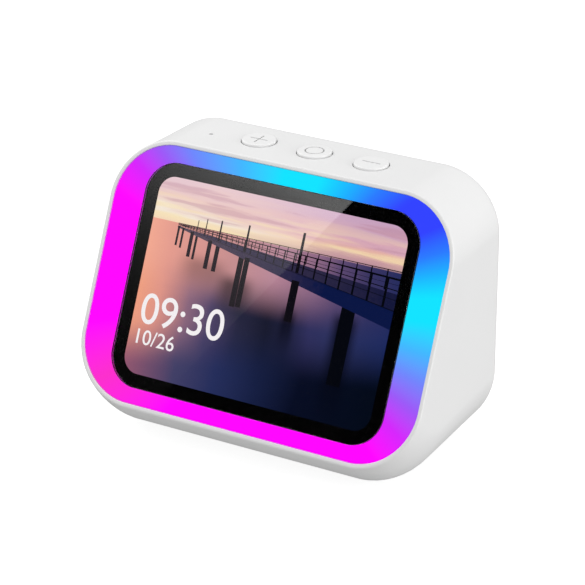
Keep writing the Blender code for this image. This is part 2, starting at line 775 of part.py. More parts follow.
def add_leds():
    """A ring-shaped board round the tray's wall, with LEDs that shine into the light ring."""
    inner_w = TRAY_OPENING_W + 2 * TRAY_WALL + 2 * GAP
    inner_h = TRAY_OPENING_H + 2 * TRAY_WALL + 2 * GAP
    outer_w = TRAY_OUTER_W - 2 * GAP
    outer_h = inner_h + 2 * LED_BOARD_BAND
    rear = TRAY_DEPTH - GAP
    front = rear - LED_BOARD_THICK
    plate(
        "led_board",
        [
            rounded_rect(outer_w, outer_h, TRAY_CORNER - GAP),
            rounded_rect(inner_w, inner_h, LCD_CORNER + TRAY_WALL + 2 * GAP),
        ],
        LED_BOARD_THICK,
        BOARD_GREEN,
        FACE,
        (0, 0, -(front + rear) / 2),
    )
    long_pitch = inner_w / LEDS_LONG_SIDE
    short_pitch = inner_h / LEDS_SHORT_SIDE
    row_y = (inner_h + outer_h) / 4
    row_x = (inner_w + outer_w) / 4
    places = []
    for i in range(LEDS_LONG_SIDE):
        x = (i - (LEDS_LONG_SIDE - 1) / 2) * long_pitch
        places += [(x, row_y), (x, -row_y)]
    for i in range(LEDS_SHORT_SIDE):
        y = (i - (LEDS_SHORT_SIDE - 1) / 2) * short_pitch
        places += [(row_x, y), (-row_x, y)]
    for number, (x, y) in enumerate(places, 1):
        box(
            f"rgb_led_{number:02d}",
            (LED_SIZE, LED_SIZE, LED_HEIGHT),
            LED_WHITE,
            FACE,
            (x, y, -front + GAP / 2 + LED_HEIGHT / 2),
        )


# ---------------------------------------------------------------- screws
def add_screw(name, length, frame, location, flip=False):
    """A pan-head screw along local Z with its head's underside at the location, pointing to -Z."""
    profile = [
        (0, SCREW_HEAD_HEIGHT),
        (SCREW_HEAD / 2 - 0.4 * MM, SCREW_HEAD_HEIGHT),
        (SCREW_HEAD / 2, SCREW_HEAD_HEIGHT - 0.5 * MM),
        (SCREW_HEAD / 2, 0),
        (SCREW_SHANK / 2, 0),
        (SCREW_SHANK / 2, -length + 0.8 * MM),
        (0, -length),
    ]
    screw = turned(name, profile, STEEL, frame, location, steps=10)
    if flip:
        screw.rotation_euler = (math.pi, 0, 0)
    return screw


def add_screws():
    boss_x = TRAY_OUTER_W / 2 - FRAME_PAD / 2 - GAP
    seat = TRAY_REAR + FRAME_PAD_HEIGHT + GAP + FRAME_BOSS_LENGTH + GAP
    number = 0
    for side in (-1, 1):
        for end in (-1, 1):
            number += 1
            place = (side * boss_x, end * FRAME_SCREW_UP, -seat)
            add_screw(f"frame_screw_{number}", FRAME_SCREW_LENGTH, FACE, place, flip=True)
    for number, (x, y) in enumerate(cover_screw_places(), 1):
        place = (x, y, -COVER_SINK - HEAD_SINK + GAP)
        add_screw(f"cover_screw_{number}", COVER_SCREW_LENGTH, REAR, place)
    for number, side in enumerate((-1, 1), 1):
        place = (KEY_MIDDLE + side * BUTTON_PITCH / 2, KEY_Y, KEY_BOARD_TOP - KEY_BOARD_THICK - GAP)
        add_screw(f"key_board_screw_{number}", 5.0 * MM, None, place, flip=True)
        depth = TRAY_REAR + STANDOFF_HEIGHT + GAP + MAIN_BOARD_THICK + GAP
        place = (side * MAIN_SCREW_X, MAIN_BOARD_Y, -depth)
        add_screw(f"main_board_screw_{number}", 3.2 * MM, FACE, place, flip=True)


# ---------------------------------------------------------------- keys and microphone
def add_keys():
    cap = BUTTON_DIAMETER / 2
    flange = cap + BUTTON_FLANGE
    top = TOP_Z + BUTTON_PROUD
    edge = 0.3 * MM
    profile = [
        (0, top),
        (cap - edge, top),
        (cap, top - edge),
        (cap, FLANGE_TOP_Z),
        (flange, FLANGE_TOP_Z),
        (flange, FLANGE_TOP_Z - BUTTON_FLANGE_THICK),
        (1.6 * MM, FLANGE_TOP_Z - BUTTON_FLANGE_THICK),
        (1.6 * MM, STEM_Z),
        (0, STEM_Z),
    ]
    names = ("volume_up_button", "mode_button", "volume_down_button")
    for number, (name, x) in enumerate(zip(names, KEY_X), 1):
        key = turned(name, profile, KEY_PLASTIC, None, (x, KEY_Y, 0))
        engrave(key, name, x, top)
        cylinder(
            f"switch_plunger_{number}",
            PLUNGER_DIAMETER / 2,
            PLUNGER_HEIGHT + PLUNGER_ENTRY,
            FRAME_PLASTIC,
            None,
            (x, KEY_Y, PLUNGER_TOP_Z - (PLUNGER_HEIGHT + PLUNGER_ENTRY) / 2),
        )
        switch = box(
            f"key_switch_{number}",
            (SWITCH_SIZE, SWITCH_SIZE, SWITCH_HEIGHT),
            FRAME_PLASTIC,
            None,
            (x, KEY_Y, SWITCH_TOP_Z - SWITCH_HEIGHT / 2),
        )
        bore = cylinder(
            "switch_bore",
            PLUNGER_DIAMETER / 2 + GAP,
            2 * (PLUNGER_ENTRY + BUTTON_TRAVEL + GAP),
            None,
            None,
            (x, KEY_Y, SWITCH_TOP_Z),
            CUTTERS,
        )
        boolean(switch, bore, "DIFFERENCE")


def engrave(key, name, x, top):
    """Cuts the key's sign into its cap: a plus, a circle or a minus."""
    bar = (ICON_SIZE, ICON_LINE, 2 * ICON_DEPTH)
    upright = (ICON_LINE, ICON_SIZE, 2 * ICON_DEPTH)
    if name == "mode_button":
        radius = ICON_SIZE / 2
        ring = [
            (radius, ICON_DEPTH),
            (radius, -ICON_DEPTH),
            (radius - ICON_LINE, -ICON_DEPTH),
            (radius - ICON_LINE, ICON_DEPTH),
        ]
        tool = turned("mode_sign", ring, None, None, (x, KEY_Y, top), closed=True, steps=20, group=CUTTERS)
        boolean(key, tool, "DIFFERENCE")
        return
    boolean(key, box("sign_bar", bar, None, None, (x, KEY_Y, top), CUTTERS), "DIFFERENCE")
    if name == "volume_up_button":
        boolean(key, box("sign_upright", upright, None, None, (x, KEY_Y, top), CUTTERS), "DIFFERENCE")


def add_key_board():
    width = KEY_BOARD_RIGHT - KEY_BOARD_LEFT
    middle = (KEY_BOARD_LEFT + KEY_BOARD_RIGHT) / 2
    post_middle = KEY_MIDDLE - middle
    holes = [
        circle(SCREW_SHANK / 2 + SCREW_CLEARANCE, (post_middle + side * BUTTON_PITCH / 2, 0), 12)
        for side in (-1, 1)
    ]
    plate(
        "key_board",
        [rounded_rect(width, KEY_BOARD_DEPTH, 1.0 * MM, 2)] + holes,
        KEY_BOARD_THICK,
        BOARD_GREEN,
        None,
        (middle, KEY_Y, KEY_BOARD_TOP - KEY_BOARD_THICK / 2),
    )
    mic_height = 1.1 * MM
    mic_y = KEY_Y - MIC_FORWARD
    box(
        "microphone",
        (3.8 * MM, 3.0 * MM, mic_height),
        STEEL,
        None,
        (MIC_X, mic_y, KEY_BOARD_TOP + GAP / 2 + mic_height / 2),
    )
    boot_bottom = KEY_BOARD_TOP + GAP / 2 + mic_height + GAP
    boot_radius = 1.5 * MM
    profile = [
        (boot_radius, FLANGE_TOP_Z),
        (boot_radius, boot_bottom),
        (MIC_HOLE / 2, boot_bottom),
        (MIC_HOLE / 2, FLANGE_TOP_Z),
    ]
    turned("mic_boot", profile, BLACK_RUBBER, None, (MIC_X, mic_y, 0), closed=True, steps=14)


# ---------------------------------------------------------------- rear cover and socket
def stadium(width, height, centre=(0.0, 0.0)):
    outline = rounded_rect(width, height, height / 2 - 0.01 * MM, 5)
    return [(centre[0] + x, centre[1] + y) for x, y in outline]


def grille_holes():
    """Centres of the loudspeaker's holes: rings of 6 and 12 round one in the middle."""
    centres = [(0.0, SPEAKER_Z - COVER_Z)]
    for ring in range(1, GRILLE_RINGS + 1):
        for i in range(6 * ring):
            angle = 2 * math.pi * i / (6 * ring)
            x, y = ring * GRILLE_PITCH * math.cos(angle), ring * GRILLE_PITCH * math.sin(angle)
            centres.append((x, y + SPEAKER_Z - COVER_Z))
    return centres


def drills(name, radius, depth, places, sides, frame, z=0.0):
    """One cutter that drills a hole at each (x, y) place, along the frame's Z."""
    bm = bmesh.new()
    for x, y in places:
        made = bmesh.ops.create_cone(
            bm, cap_ends=True, segments=sides, radius1=radius, radius2=radius, depth=depth
        )
        bmesh.ops.translate(bm, verts=made["verts"], vec=(x, y, z))
    return mesh_object(bm, name, None, frame, group=CUTTERS)


def add_rear_cover():
    slot = (USB_WIDTH + 2 * USB_CLEARANCE, USB_HEIGHT + 2 * USB_CLEARANCE)
    outlines = [
        rounded_rect(COVER_WIDTH, COVER_HEIGHT, COVER_CORNER, low_radius=COVER_LOW_CORNER),
        stadium(*slot, (0, USB_Z - COVER_Z)),
    ]
    middle = -COVER_SINK - COVER_THICK / 2
    cover = as_mesh(plate("rear_cover", outlines, COVER_THICK, WHITE_PLASTIC, REAR, (0, 0, middle)))
    screws = cover_screw_places()
    shank = SCREW_SHANK / 2 + SCREW_CLEARANCE
    head = SCREW_HEAD / 2 + SCREW_CLEARANCE
    through = 4 * COVER_THICK
    boolean(cover, drills("grille", GRILLE_HOLE / 2, through, grille_holes(), 8, REAR), "DIFFERENCE")
    boolean(cover, drills("screw_holes", shank, through, screws, 12, REAR), "DIFFERENCE")
    boolean(cover, drills("counterbores", head, 2 * HEAD_SINK, screws, 14, REAR, -COVER_SINK), "DIFFERENCE")


def add_port():
    board_y = REAR_Y - USB_FACE - PORT_BOARD_LENGTH / 2
    plate(
        "port_board",
        [rounded_rect(PORT_BOARD_WIDTH, PORT_BOARD_LENGTH, 1.0 * MM, 2)],
        PORT_BOARD_THICK,
        BOARD_GREEN,
        None,
        (0, board_y, PORT_BOARD_UP + PORT_BOARD_THICK / 2),
    )
    # The socket's steel shell is open at the rear, with the contact tongue inside.
    socket = as_mesh(
        plate(
            "usb_c_socket",
            [stadium(USB_WIDTH, USB_HEIGHT)],
            USB_LENGTH,
            STEEL,
            REAR,
            (0, USB_Z - COVER_Z, -USB_FACE - USB_LENGTH / 2),
        )
    )
    mouth = plate(
        "socket_mouth",
        [
            stadium(USB_WIDTH - 2 * USB_SHELL, USB_HEIGHT - 2 * USB_SHELL),
            rounded_rect(USB_WIDTH - 2.2 * MM, USB_TONGUE, 0.2 * MM, 2),
        ],
        USB_LENGTH,
        STEEL,
        REAR,
        (0, USB_Z - COVER_Z, -USB_FACE - USB_LENGTH / 2 + 1.0 * MM),
    )
    mouth = as_mesh(mouth)
    keep(mouth, "socket_mouth", None, group=CUTTERS)
    boolean(socket, mouth, "DIFFERENCE")


# ---------------------------------------------------------------- loudspeaker
GASKET_FRONT = COVER_SINK + COVER_THICK + GAP
FLANGE_FRONT = GASKET_FRONT + GASKET_THICK + GAP
FLANGE_REAR = FLANGE_FRONT + SPEAKER_FLANGE
CONE_RIM = FLANGE_FRONT + 0.7 * MM
CONE_NECK = CONE_RIM + 3.9 * MM
BASKET_REAR = CONE_NECK + 3.1 * MM
MAGNET_FRONT = BASKET_REAR + GAP
COIL_HOLE = COIL_RADIUS + COIL_WALL + COIL_CLEARANCE


def add_speaker():
    """A full-range driver that fires out of the rear cover. Depths are measured in from the rear wall."""
    skin = 1.0 * MM
    inner = CONE_RADIUS + 2.2 * MM
    basket = [
        (SPEAKER_RADIUS, -FLANGE_FRONT),
        (SPEAKER_RADIUS, -FLANGE_REAR),
        (inner + skin, -FLANGE_REAR),
        (inner + skin, -FLANGE_REAR - 1.6 * MM),
        (MAGNET_RADIUS, -BASKET_REAR + skin),
        (MAGNET_RADIUS, -BASKET_REAR),
        (COIL_HOLE, -BASKET_REAR),
        (COIL_HOLE, -BASKET_REAR + skin),
        (MAGNET_RADIUS - skin, -BASKET_REAR + 2 * skin),
        (inner, -FLANGE_REAR - 1.2 * MM),
        (inner, -FLANGE_FRONT),
    ]
    turned("speaker_basket", basket, FERRITE, SPEAKER, closed=True)
    magnet = [
        (0, -MAGNET_FRONT - GAP),
        (COIL_RADIUS - COIL_CLEARANCE, -MAGNET_FRONT - GAP),
        (COIL_RADIUS - COIL_CLEARANCE, -MAGNET_FRONT - MAGNET_THICK + skin),
        (COIL_HOLE, -MAGNET_FRONT - MAGNET_THICK + skin),
        (COIL_HOLE, -MAGNET_FRONT),
        (MAGNET_RADIUS, -MAGNET_FRONT),
        (MAGNET_RADIUS, -MAGNET_FRONT - MAGNET_THICK),
        (0, -MAGNET_FRONT - MAGNET_THICK),
    ]
    turned("speaker_magnet", magnet, FERRITE, SPEAKER)
    paper = 0.5 * MM
    cone = [
        (0, -CONE_RIM - 1.6 * MM),
        (COIL_RADIUS * 0.6, -CONE_RIM - 1.9 * MM),
        (COIL_RADIUS + COIL_WALL, -CONE_RIM - 3.1 * MM),
        (CONE_RADIUS, -CONE_RIM),
        (CONE_RADIUS, -CONE_RIM - paper),
        (COIL_RADIUS + COIL_WALL, -CONE_NECK),
        (COIL_RADIUS, -CONE_NECK),
        (COIL_RADIUS * 0.6, -CONE_RIM - 1.9 * MM - paper),
        (0, -CONE_RIM - 1.6 * MM - paper),
    ]
    turned("speaker_cone", cone, PAPER, SPEAKER)
    coil_rear = MAGNET_FRONT + MAGNET_THICK - skin - CONE_TRAVEL - GAP
    coil = [
        (COIL_RADIUS + COIL_WALL, -CONE_NECK - GAP),
        (COIL_RADIUS + COIL_WALL, -coil_rear),
        (COIL_RADIUS, -coil_rear),
        (COIL_RADIUS, -CONE_NECK - GAP),
    ]
    turned("voice_coil", coil, COPPER, SPEAKER, closed=True)
    left, right = CONE_RADIUS + GAP, inner - GAP
    middle, crest = (left + right) / 2, 0.5 * MM
    surround = [
        (right, -CONE_RIM),
        (right, -CONE_RIM - paper),
        (middle, -CONE_RIM - paper + crest),
        (left, -CONE_RIM - paper),
        (left, -CONE_RIM),
        (middle, -CONE_RIM + crest),
    ]
    turned("speaker_surround", surround, BLACK_RUBBER, SPEAKER, closed=True)
    gasket = [
        (SPEAKER_RADIUS - 0.2 * MM, -GASKET_FRONT),
        (SPEAKER_RADIUS - 0.2 * MM, -GASKET_FRONT - GASKET_THICK),
        (inner, -GASKET_FRONT - GASKET_THICK),
        (inner, -GASKET_FRONT),
    ]
    turned("speaker_gasket", gasket, BLACK_RUBBER, SPEAKER, closed=True)


# ---------------------------------------------------------------- main board and wiring
BOARD_FRONT = TRAY_REAR + STANDOFF_HEIGHT + GAP
BOARD_REAR = BOARD_FRONT + MAIN_BOARD_THICK


def add_main_board():
    """The main board, parallel to the screen, with its chips and connectors soldered on."""
    holes = [circle(SCREW_SHANK / 2 + SCREW_CLEARANCE, (side * MAIN_SCREW_X, 0), 12) for side in (-1, 1)]
    board = as_mesh(
        plate(
            "main_board",
            [rounded_rect(MAIN_BOARD_WIDTH, MAIN_BOARD_HEIGHT, 1.0 * MM, 2)] + holes,
            MAIN_BOARD_THICK,
            BOARD_GREEN,
            FACE,
            (0, MAIN_BOARD_Y, -(BOARD_FRONT + BOARD_REAR) / 2),
        )
    )
    # Memory chip, display connector, speaker plug and port plug: width, height, thickness, x, y.
    soldered = (
        (9.0, 7.0, 1.0, 19.0, 0.0),
        (16.0, 3.0, 1.0, 0.0, -14.4),
        (5.0, 3.6, 1.4, 20.0, 9.0),
        (9.0, 3.6, 1.4, -19.0, -13.0),
        (4.0, 4.0, 1.6, -22.0, 6.0),
    )
    sunk = MAIN_BOARD_THICK / 2
    for width, height, thick, x, y in soldered:
        depth = thick * MM + sunk
        chip = box(
            "chip",
            (width * MM, height * MM, depth),
            None,
            FACE,
            (x * MM, MAIN_BOARD_Y + y * MM, -BOARD_REAR + sunk - depth / 2),
            CUTTERS,
        )
        boolean(board, chip, "UNION")
    box(
        "processor_shield",
        (SHIELD_WIDTH, SHIELD_HEIGHT, SHIELD_THICK),
        STEEL,
        FACE,
        (0, MAIN_BOARD_Y + 1.5 * MM, -BOARD_REAR - GAP - SHIELD_THICK / 2),
    )


def ribbon(name, route, width, x, finish=RIBBON):
    """A flat cable: a route of (y, z) points in its frame's local Y-Z plane, swept along X."""
    half = RIBBON_THICK / 2
    sides = ([], [])
    for i, (y, z) in enumerate(route):
        before = route[max(i - 1, 0)]
        after = route[min(i + 1, len(route) - 1)]
        along = Vector((after[0] - before[0], after[1] - before[1])).normalized()
        across = Vector((-along.y, along.x)) * half
        sides[0].append((y + across.x, z + across.y))
        sides[1].append((y - across.x, z - across.y))
    bm = bmesh.new()
    ring = [bm.verts.new((x - width / 2, y, z)) for y, z in sides[0] + sides[1][::-1]]
    count = len(route)
    strips = []
    for i in range(count - 1):
        strips.append(bm.faces.new((ring[i], ring[i + 1], ring[-i - 2], ring[-i - 1])))
    swept = bmesh.ops.extrude_face_region(bm, geom=strips)
    moved = [v for v in swept["geom"] if isinstance(v, bmesh.types.BMVert)]
    bmesh.ops.translate(bm, verts=moved, vec=(width, 0, 0))
    return mesh_object(bm, name, finish)


def face_point(x, up, depth):
    """A point given in the face frame, in the world."""
    return FACE_CENTRE + Vector((x, up * SIN_TILT + depth * COS_TILT, up * COS_TILT - depth * SIN_TILT))


def add_cables():
    """The display's ribbon, the port board's ribbon and the loudspeaker's two wires."""
    backlight_rear = GLASS_SINK + GLASS_THICK + 2 * GAP + LCD_THICK + BACKLIGHT_THICK
    start = backlight_rear + GAP + RIBBON_THICK
    end = BOARD_REAR + 1.0 * MM + GAP + RIBBON_THICK
    bend = 0.8 * MM
    slot = RIBBON_SLOT_Y
    route = [
        (-12.0 * MM, -start),
        (slot + bend, -start),
        (slot, -start - bend),
        (slot, -end + bend),
        (slot + bend, -end),
        (MAIN_BOARD_Y - 13.2 * MM, -end),
    ]
    cable = ribbon("display_ribbon", route, DISPLAY_RIBBON_WIDTH, 0.0)
    cable.parent = FACE
    # The port ribbon leaves the port board's front edge and climbs to the main board.
    port_top = PORT_BOARD_UP + PORT_BOARD_THICK + GAP + RIBBON_THICK
    port_front = REAR_Y - USB_FACE - PORT_BOARD_LENGTH
    plug = face_point(0, MAIN_BOARD_Y - 13.0 * MM, BOARD_REAR + 1.4 * MM + GAP + RIBBON_THICK)
    below = face_point(0, MAIN_BOARD_Y - 19.5 * MM, BOARD_REAR + 1.4 * MM + GAP + RIBBON_THICK)
    route = [
        (port_front + 4.0 * MM, port_top),
        (port_front - 1.0 * MM, port_top),
        (below.y + 1.6 * MM, port_top + 0.9 * MM),
        (below.y, below.z),
        (plug.y, plug.z),
    ]
    ribbon("port_ribbon", route, PORT_RIBBON_WIDTH, -10.0 * MM)
    # Wires from the loudspeaker's rim to its plug on the main board.
    wires = (("speaker_wire_red", RED_WIRE, -1.0 * MM), ("speaker_wire_black", BLACK_WIRE, 1.0 * MM))
    plug_depth = BOARD_REAR + 1.4 * MM + GAP + WIRE_DIAMETER / 2
    for name, finish, across in wires:
        plug = face_point(20.0 * MM + across, MAIN_BOARD_Y + 9.0 * MM, plug_depth)
        points = [
            (plug.x, plug.y, plug.z),
            (plug.x, plug.y + 2.0 * MM, plug.z - 0.6 * MM),
            (plug.x + 1.5 * MM, plug.y + 5.0 * MM, plug.z - 3.0 * MM),
            (plug.x + 2.4 * MM, plug.y + 7.5 * MM, plug.z - 6.5 * MM),
            (plug.x + 2.0 * MM, plug.y + 9.0 * MM, plug.z - 10.0 * MM),
        ]
        curve = bpy.data.curves.new(name, "CURVE")
        curve.dimensions = "3D"
        curve.bevel_depth = WIRE_DIAMETER / 2
        curve.bevel_resolution = 1
        curve.use_fill_caps = True
        spline = curve.splines.new("POLY")
        spline.points.add(len(points) - 1)
        for point, place in zip(spline.points, points):
            point.co = (*place, 1)
        keep(bpy.data.objects.new(name, curve), name, finish)


add_shell()
add_foot()
add_light_ring()
add_display()
add_tray()
add_leds()
add_screws()
add_keys()
add_key_board()
add_rear_cover()
add_port()
add_speaker()
add_main_board()
add_cables()
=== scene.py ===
# %% [markdown]
# # A desk smart display
#
# The object is a small white wedge that leans its screen back by 24 degrees. A glowing ring runs
# round a glossy cover glass, and three round keys and a microphone hole sit in the level top.
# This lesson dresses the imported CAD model: pieces with the right shape keep it and get a finish,
# and pieces that need rounder edges or finer detail are modelled again in the same place.
#
# Everything is in metres, with +X to the right of someone who faces the screen, +Y towards the
# back and +Z up, so a piece goes where the CAD says.

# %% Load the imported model
import math

import bmesh
import bpy
from mathutils import Matrix, Vector


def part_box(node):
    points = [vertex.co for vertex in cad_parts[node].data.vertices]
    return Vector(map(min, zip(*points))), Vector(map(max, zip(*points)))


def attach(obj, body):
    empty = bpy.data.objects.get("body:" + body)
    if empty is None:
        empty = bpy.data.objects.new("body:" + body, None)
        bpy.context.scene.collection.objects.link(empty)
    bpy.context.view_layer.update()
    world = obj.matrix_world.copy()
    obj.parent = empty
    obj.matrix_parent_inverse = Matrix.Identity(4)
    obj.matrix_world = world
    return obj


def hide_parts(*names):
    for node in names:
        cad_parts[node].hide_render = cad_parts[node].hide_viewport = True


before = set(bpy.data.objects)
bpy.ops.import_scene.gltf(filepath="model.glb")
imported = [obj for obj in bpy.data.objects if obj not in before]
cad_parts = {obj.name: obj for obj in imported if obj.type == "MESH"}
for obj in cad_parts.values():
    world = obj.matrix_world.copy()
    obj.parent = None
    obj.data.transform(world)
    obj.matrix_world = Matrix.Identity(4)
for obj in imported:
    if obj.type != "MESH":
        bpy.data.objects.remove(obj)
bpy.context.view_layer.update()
MM = 0.001


# %% [markdown]
# ## Places taken from the frame
#
# On the real object three planes matter: the leaning face, the level top and the upright rear.
# Each could be found by measuring a node's box. The face is described by one matrix, whose X runs
# along the rim, Y up the slope and Z out of the screen, so that everything on the face can be
# laid out flat, in the way that a designer would draw it, and then put in place in one move.

# %% The three planes
shell_low, shell_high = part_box("housing_shell")
FACE_WIDTH = shell_high.x - shell_low.x
TOP_Z, BASE_Z = shell_high.z, shell_low.z
REAR_Y = shell_high.y
FRONT_Y = -REAR_Y
TILT = math.radians(24.0)
FACE_HEIGHT = 70.0 * MM
UP_FACE = Vector((0, math.sin(TILT), math.cos(TILT)))
OUT_OF_FACE = Vector((0, -math.cos(TILT), math.sin(TILT)))
RIM_TOP = Vector((0, FRONT_Y + FACE_HEIGHT * UP_FACE.y, TOP_Z))
RIM_BOTTOM = RIM_TOP - FACE_HEIGHT * UP_FACE
FACE_CENTRE = (RIM_TOP + RIM_BOTTOM) / 2


def plane(origin, across, up):
    """A matrix whose X and Y run across and up a plane and whose Z stands on it."""
    out = across.cross(up)
    return Matrix.Translation(origin) @ Matrix((across, up, out)).transposed().to_4x4()


RIGHT = Vector((1, 0, 0))
UPRIGHT = Vector((0, 0, 1))
FACE = plane(FACE_CENTRE, RIGHT, UP_FACE)
REAR = plane(Vector((0, REAR_Y, (BASE_Z + TOP_Z) / 2)), -RIGHT, UPRIGHT)
print("face centre, mm:", tuple(round(v / MM, 2) for v in FACE_CENTRE))
print("rear Z axis:", tuple(round(v, 2) for v in REAR.col[2][:3]))


def sunk(place, depth):
    """The same plane, moved the given depth behind its surface."""
    return place @ Matrix.Translation((0, 0, -depth))


# %% [markdown]
# ## The camera
#
# A long lens looks down on the right side of the display, so the top, the face and one flank show.
# The camera could be parented or constrained, but a plain place and turn are easiest to check: it
# stands on a line from the middle of the face, and looks a little right of and above that point,
# which sets the object left of the middle, as it should be.

# %% Camera
AZIMUTH, ELEVATION = math.radians(31.29), math.radians(24.01)
DISTANCE = 0.6817
LENS, SENSOR = 166.15, 36.0
AIM_RIGHT, AIM_UP = 8.08 * MM, 2.11 * MM

back = Vector(
    (
        math.sin(AZIMUTH) * math.cos(ELEVATION),
        -math.cos(AZIMUTH) * math.cos(ELEVATION),
        math.sin(ELEVATION),
    )
)
view_right = Vector((math.cos(AZIMUTH), math.sin(AZIMUTH), 0))
view_up = back.cross(view_right)
eye = FACE_CENTRE + back * DISTANCE
aim = FACE_CENTRE + view_right * AIM_RIGHT + view_up * AIM_UP
lens = bpy.data.cameras.new("camera")
lens.lens, lens.sensor_width = LENS, SENSOR
lens.clip_start, lens.clip_end = 0.01, 20.0
camera = bpy.data.objects.new("camera", lens)
camera.location = eye
camera.rotation_euler = (aim - eye).to_track_quat("-Z", "Y").to_euler()
bpy.context.scene.collection.objects.link(camera)
bpy.context.scene.camera = camera
bpy.context.scene.view_settings.view_transform = "Standard"
print("camera at", tuple(round(v, 3) for v in eye))

# %% [markdown]
# ## A workshop of small tools
#
# Almost every moulded piece here is a rounded rectangle that changes as it goes back: the case,
# the light ring, the glass, the cover. A sculpted cube under a subdivision surface would give soft
# corners, but not corners of a stated radius. So the main tool here is a loft. It draws out a tube
# from a circle, one extrusion for each section, and then gives every row of the tube the shape
# and place of its section. Edges are rounded afterwards with the bevel operator, the way a
# toolmaker breaks an edge.

# %% The loft and the bevel
CORNER_CUTS = 14
SHARP = math.radians(32.0)
HALF_STEP = math.pi / (4 * CORNER_CUTS)


def shaped(direction, width, height, corner, place, low_corner=None):
    """Takes a point of the unit circle to its point on a rounded rectangle."""
    radius = corner if direction.y > 0 or low_corner is None else low_corner
    reach = radius / math.cos(HALF_STEP)
    x = direction.x * reach + math.copysign(width / 2 - radius, direction.x)
    y = direction.y * reach + math.copysign(height / 2 - radius, direction.y)
    return place @ Vector((x, y, 0))


def round_edges(bm, edges, radius, segments=3):
    """Rounds edges with the bevel operator."""
    bmesh.ops.bevel(
        bm,
        geom=edges,
        offset=radius,
        offset_type="OFFSET",
        affect="EDGES",
        segments=segments,
        profile=0.5,
        material=-1,
        clamp_overlap=True,
    )


def loft(name, sections, closed=False, rounded=None, finish=None):
    """A skin over sections of (width, height, corner, place) and perhaps a lower corner.

    A closed one ends where it began; any other gets a cap at each end. Rounded gives the radius
    of the edge at a section's number.
    """
    bm = bmesh.new()
    verts = bmesh.ops.create_circle(bm, segments=4 * CORNER_CUTS, radius=1.0)["verts"]
    bmesh.ops.rotate(bm, verts=verts, cent=(0, 0, 0), matrix=Matrix.Rotation(HALF_STEP, 3, "Z"))
    rows = [(verts, list(bm.edges))]
    if closed:
        sections = sections + sections[:1]
    for _ in sections[1:]:
        grown = bmesh.ops.extrude_edge_only(bm, edges=rows[-1][1])["geom"]
        verts = [part for part in grown if isinstance(part, bmesh.types.BMVert)]
        fresh = set(verts)
        edges = {edge for vert in verts for edge in vert.link_edges if set(edge.verts) <= fresh}
        rows.append((verts, list(edges)))
    for (verts, _), section in zip(rows, sections):
        for vert in verts:
            vert.co = shaped(vert.co, *section)
    if closed:
        bmesh.ops.remove_doubles(bm, verts=rows[0][0] + rows[-1][0], dist=1e-7)
    else:
        for _, edges in (rows[0], rows[-1]):
            bmesh.ops.edgeloop_fill(bm, edges=edges)
    for row, radius in (rounded or {}).items():
        round_edges(bm, rows[row][1], radius, 4)
    return piece_from(bm, name, finish)


def soften(bm):
    """Shades faces smooth, and leaves edges sharp where the surface turns a corner."""
    for face in bm.faces:
        face.smooth = True
    for edge in bm.edges:
        edge.smooth = edge.calc_face_angle(0) < SHARP


def piece_from(bm, name, finish=None):
    """Turns a bmesh into an object whose faces point outwards."""
    bmesh.ops.remove_doubles(bm, verts=bm.verts, dist=1e-7)
    bmesh.ops.recalc_face_normals(bm, faces=bm.faces)
    soften(bm)
    mesh = bpy.data.meshes.new(name)
    bm.to_mesh(mesh)
    bm.free()
    made = bpy.data.objects.new(name, mesh)
    bpy.context.scene.collection.objects.link(made)
    if finish is not None:
        mesh.materials.append(finish)
    return made


def carve(piece, tool):
    """Cuts a tool out of a piece, and removes the tool."""
    modifier = piece.modifiers.new("carve", "BOOLEAN")
    modifier.operation, modifier.object, modifier.solver = "DIFFERENCE", tool, "EXACT"
    bpy.context.view_layer.update()
    graph = bpy.context.evaluated_depsgraph_get()
    cut = bpy.data.meshes.new_from_object(piece.evaluated_get(graph))
    piece.modifiers.remove(modifier)
    bm = bmesh.new()
    bm.from_mesh(cut)
    bmesh.ops.remove_doubles(bm, verts=bm.verts, dist=1e-7)
    soften(bm)
    bm.to_mesh(piece.data)
    bm.free()
    bpy.data.meshes.remove(cut)
    bpy.data.objects.remove(tool, do_unlink=True)


def turned(name, profile, place, steps=64, closed=False, finish=None):
    """Spins a profile of (radius, height) points round the Z axis of a place."""
    bm = bmesh.new()
    points = [bm.verts.new((radius, 0, height)) for radius, height in profile]
    edges = [bm.edges.new(pair) for pair in zip(points, points[1:])]
    if closed:
        edges.append(bm.edges.new((points[-1], points[0])))
    bmesh.ops.spin(
        bm,
        geom=points + edges,
        axis=(0, 0, 1),
        cent=(0, 0, 0),
        angle=2 * math.pi,
        steps=steps,
        use_merge=True,
    )
    bmesh.ops.transform(bm, matrix=place, verts=bm.verts)
    return piece_from(bm, name, finish)


def bow(radius, height, size, start, end, cuts=5):
    """Points of an arc in a profile, from one angle to another, in degrees."""
    angles = [math.radians(start + (end - start) * i / cuts) for i in range(cuts + 1)]
    return [(radius + size * math.cos(a), height + size * math.sin(a)) for a in angles]


def block(bm, size, place):
    """Adds a box of the given size, centred on a place."""
    verts = bmesh.ops.create_cube(bm, size=1.0)["verts"]
    bmesh.ops.scale(bm, vec=size, verts=verts)
    bmesh.ops.transform(bm, matrix=place, verts=verts)
    return verts


def settle(piece, body, slot, *replaced):
    """Evens the shading, and says what the piece rides on and what it replaces; the slot is not
    used.
    """
    modifier = piece.modifiers.new("even_shading", "WEIGHTED_NORMAL")
    modifier.keep_sharp = True
    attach(piece, body)
    if replaced:
        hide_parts(*replaced)
    print(piece.name, "rides on", body, "with", len(piece.data.polygons), "faces")
    return piece


# %% [markdown]
# ## Shader sums
#
# A finish is easier to read as a sum than as a picture of wires. The Wire class wraps a shader
# socket, so that `1 - mask` adds a Math node. Every other node comes from one method, Finish.node,
# which sets the node's own settings first and then its sockets.

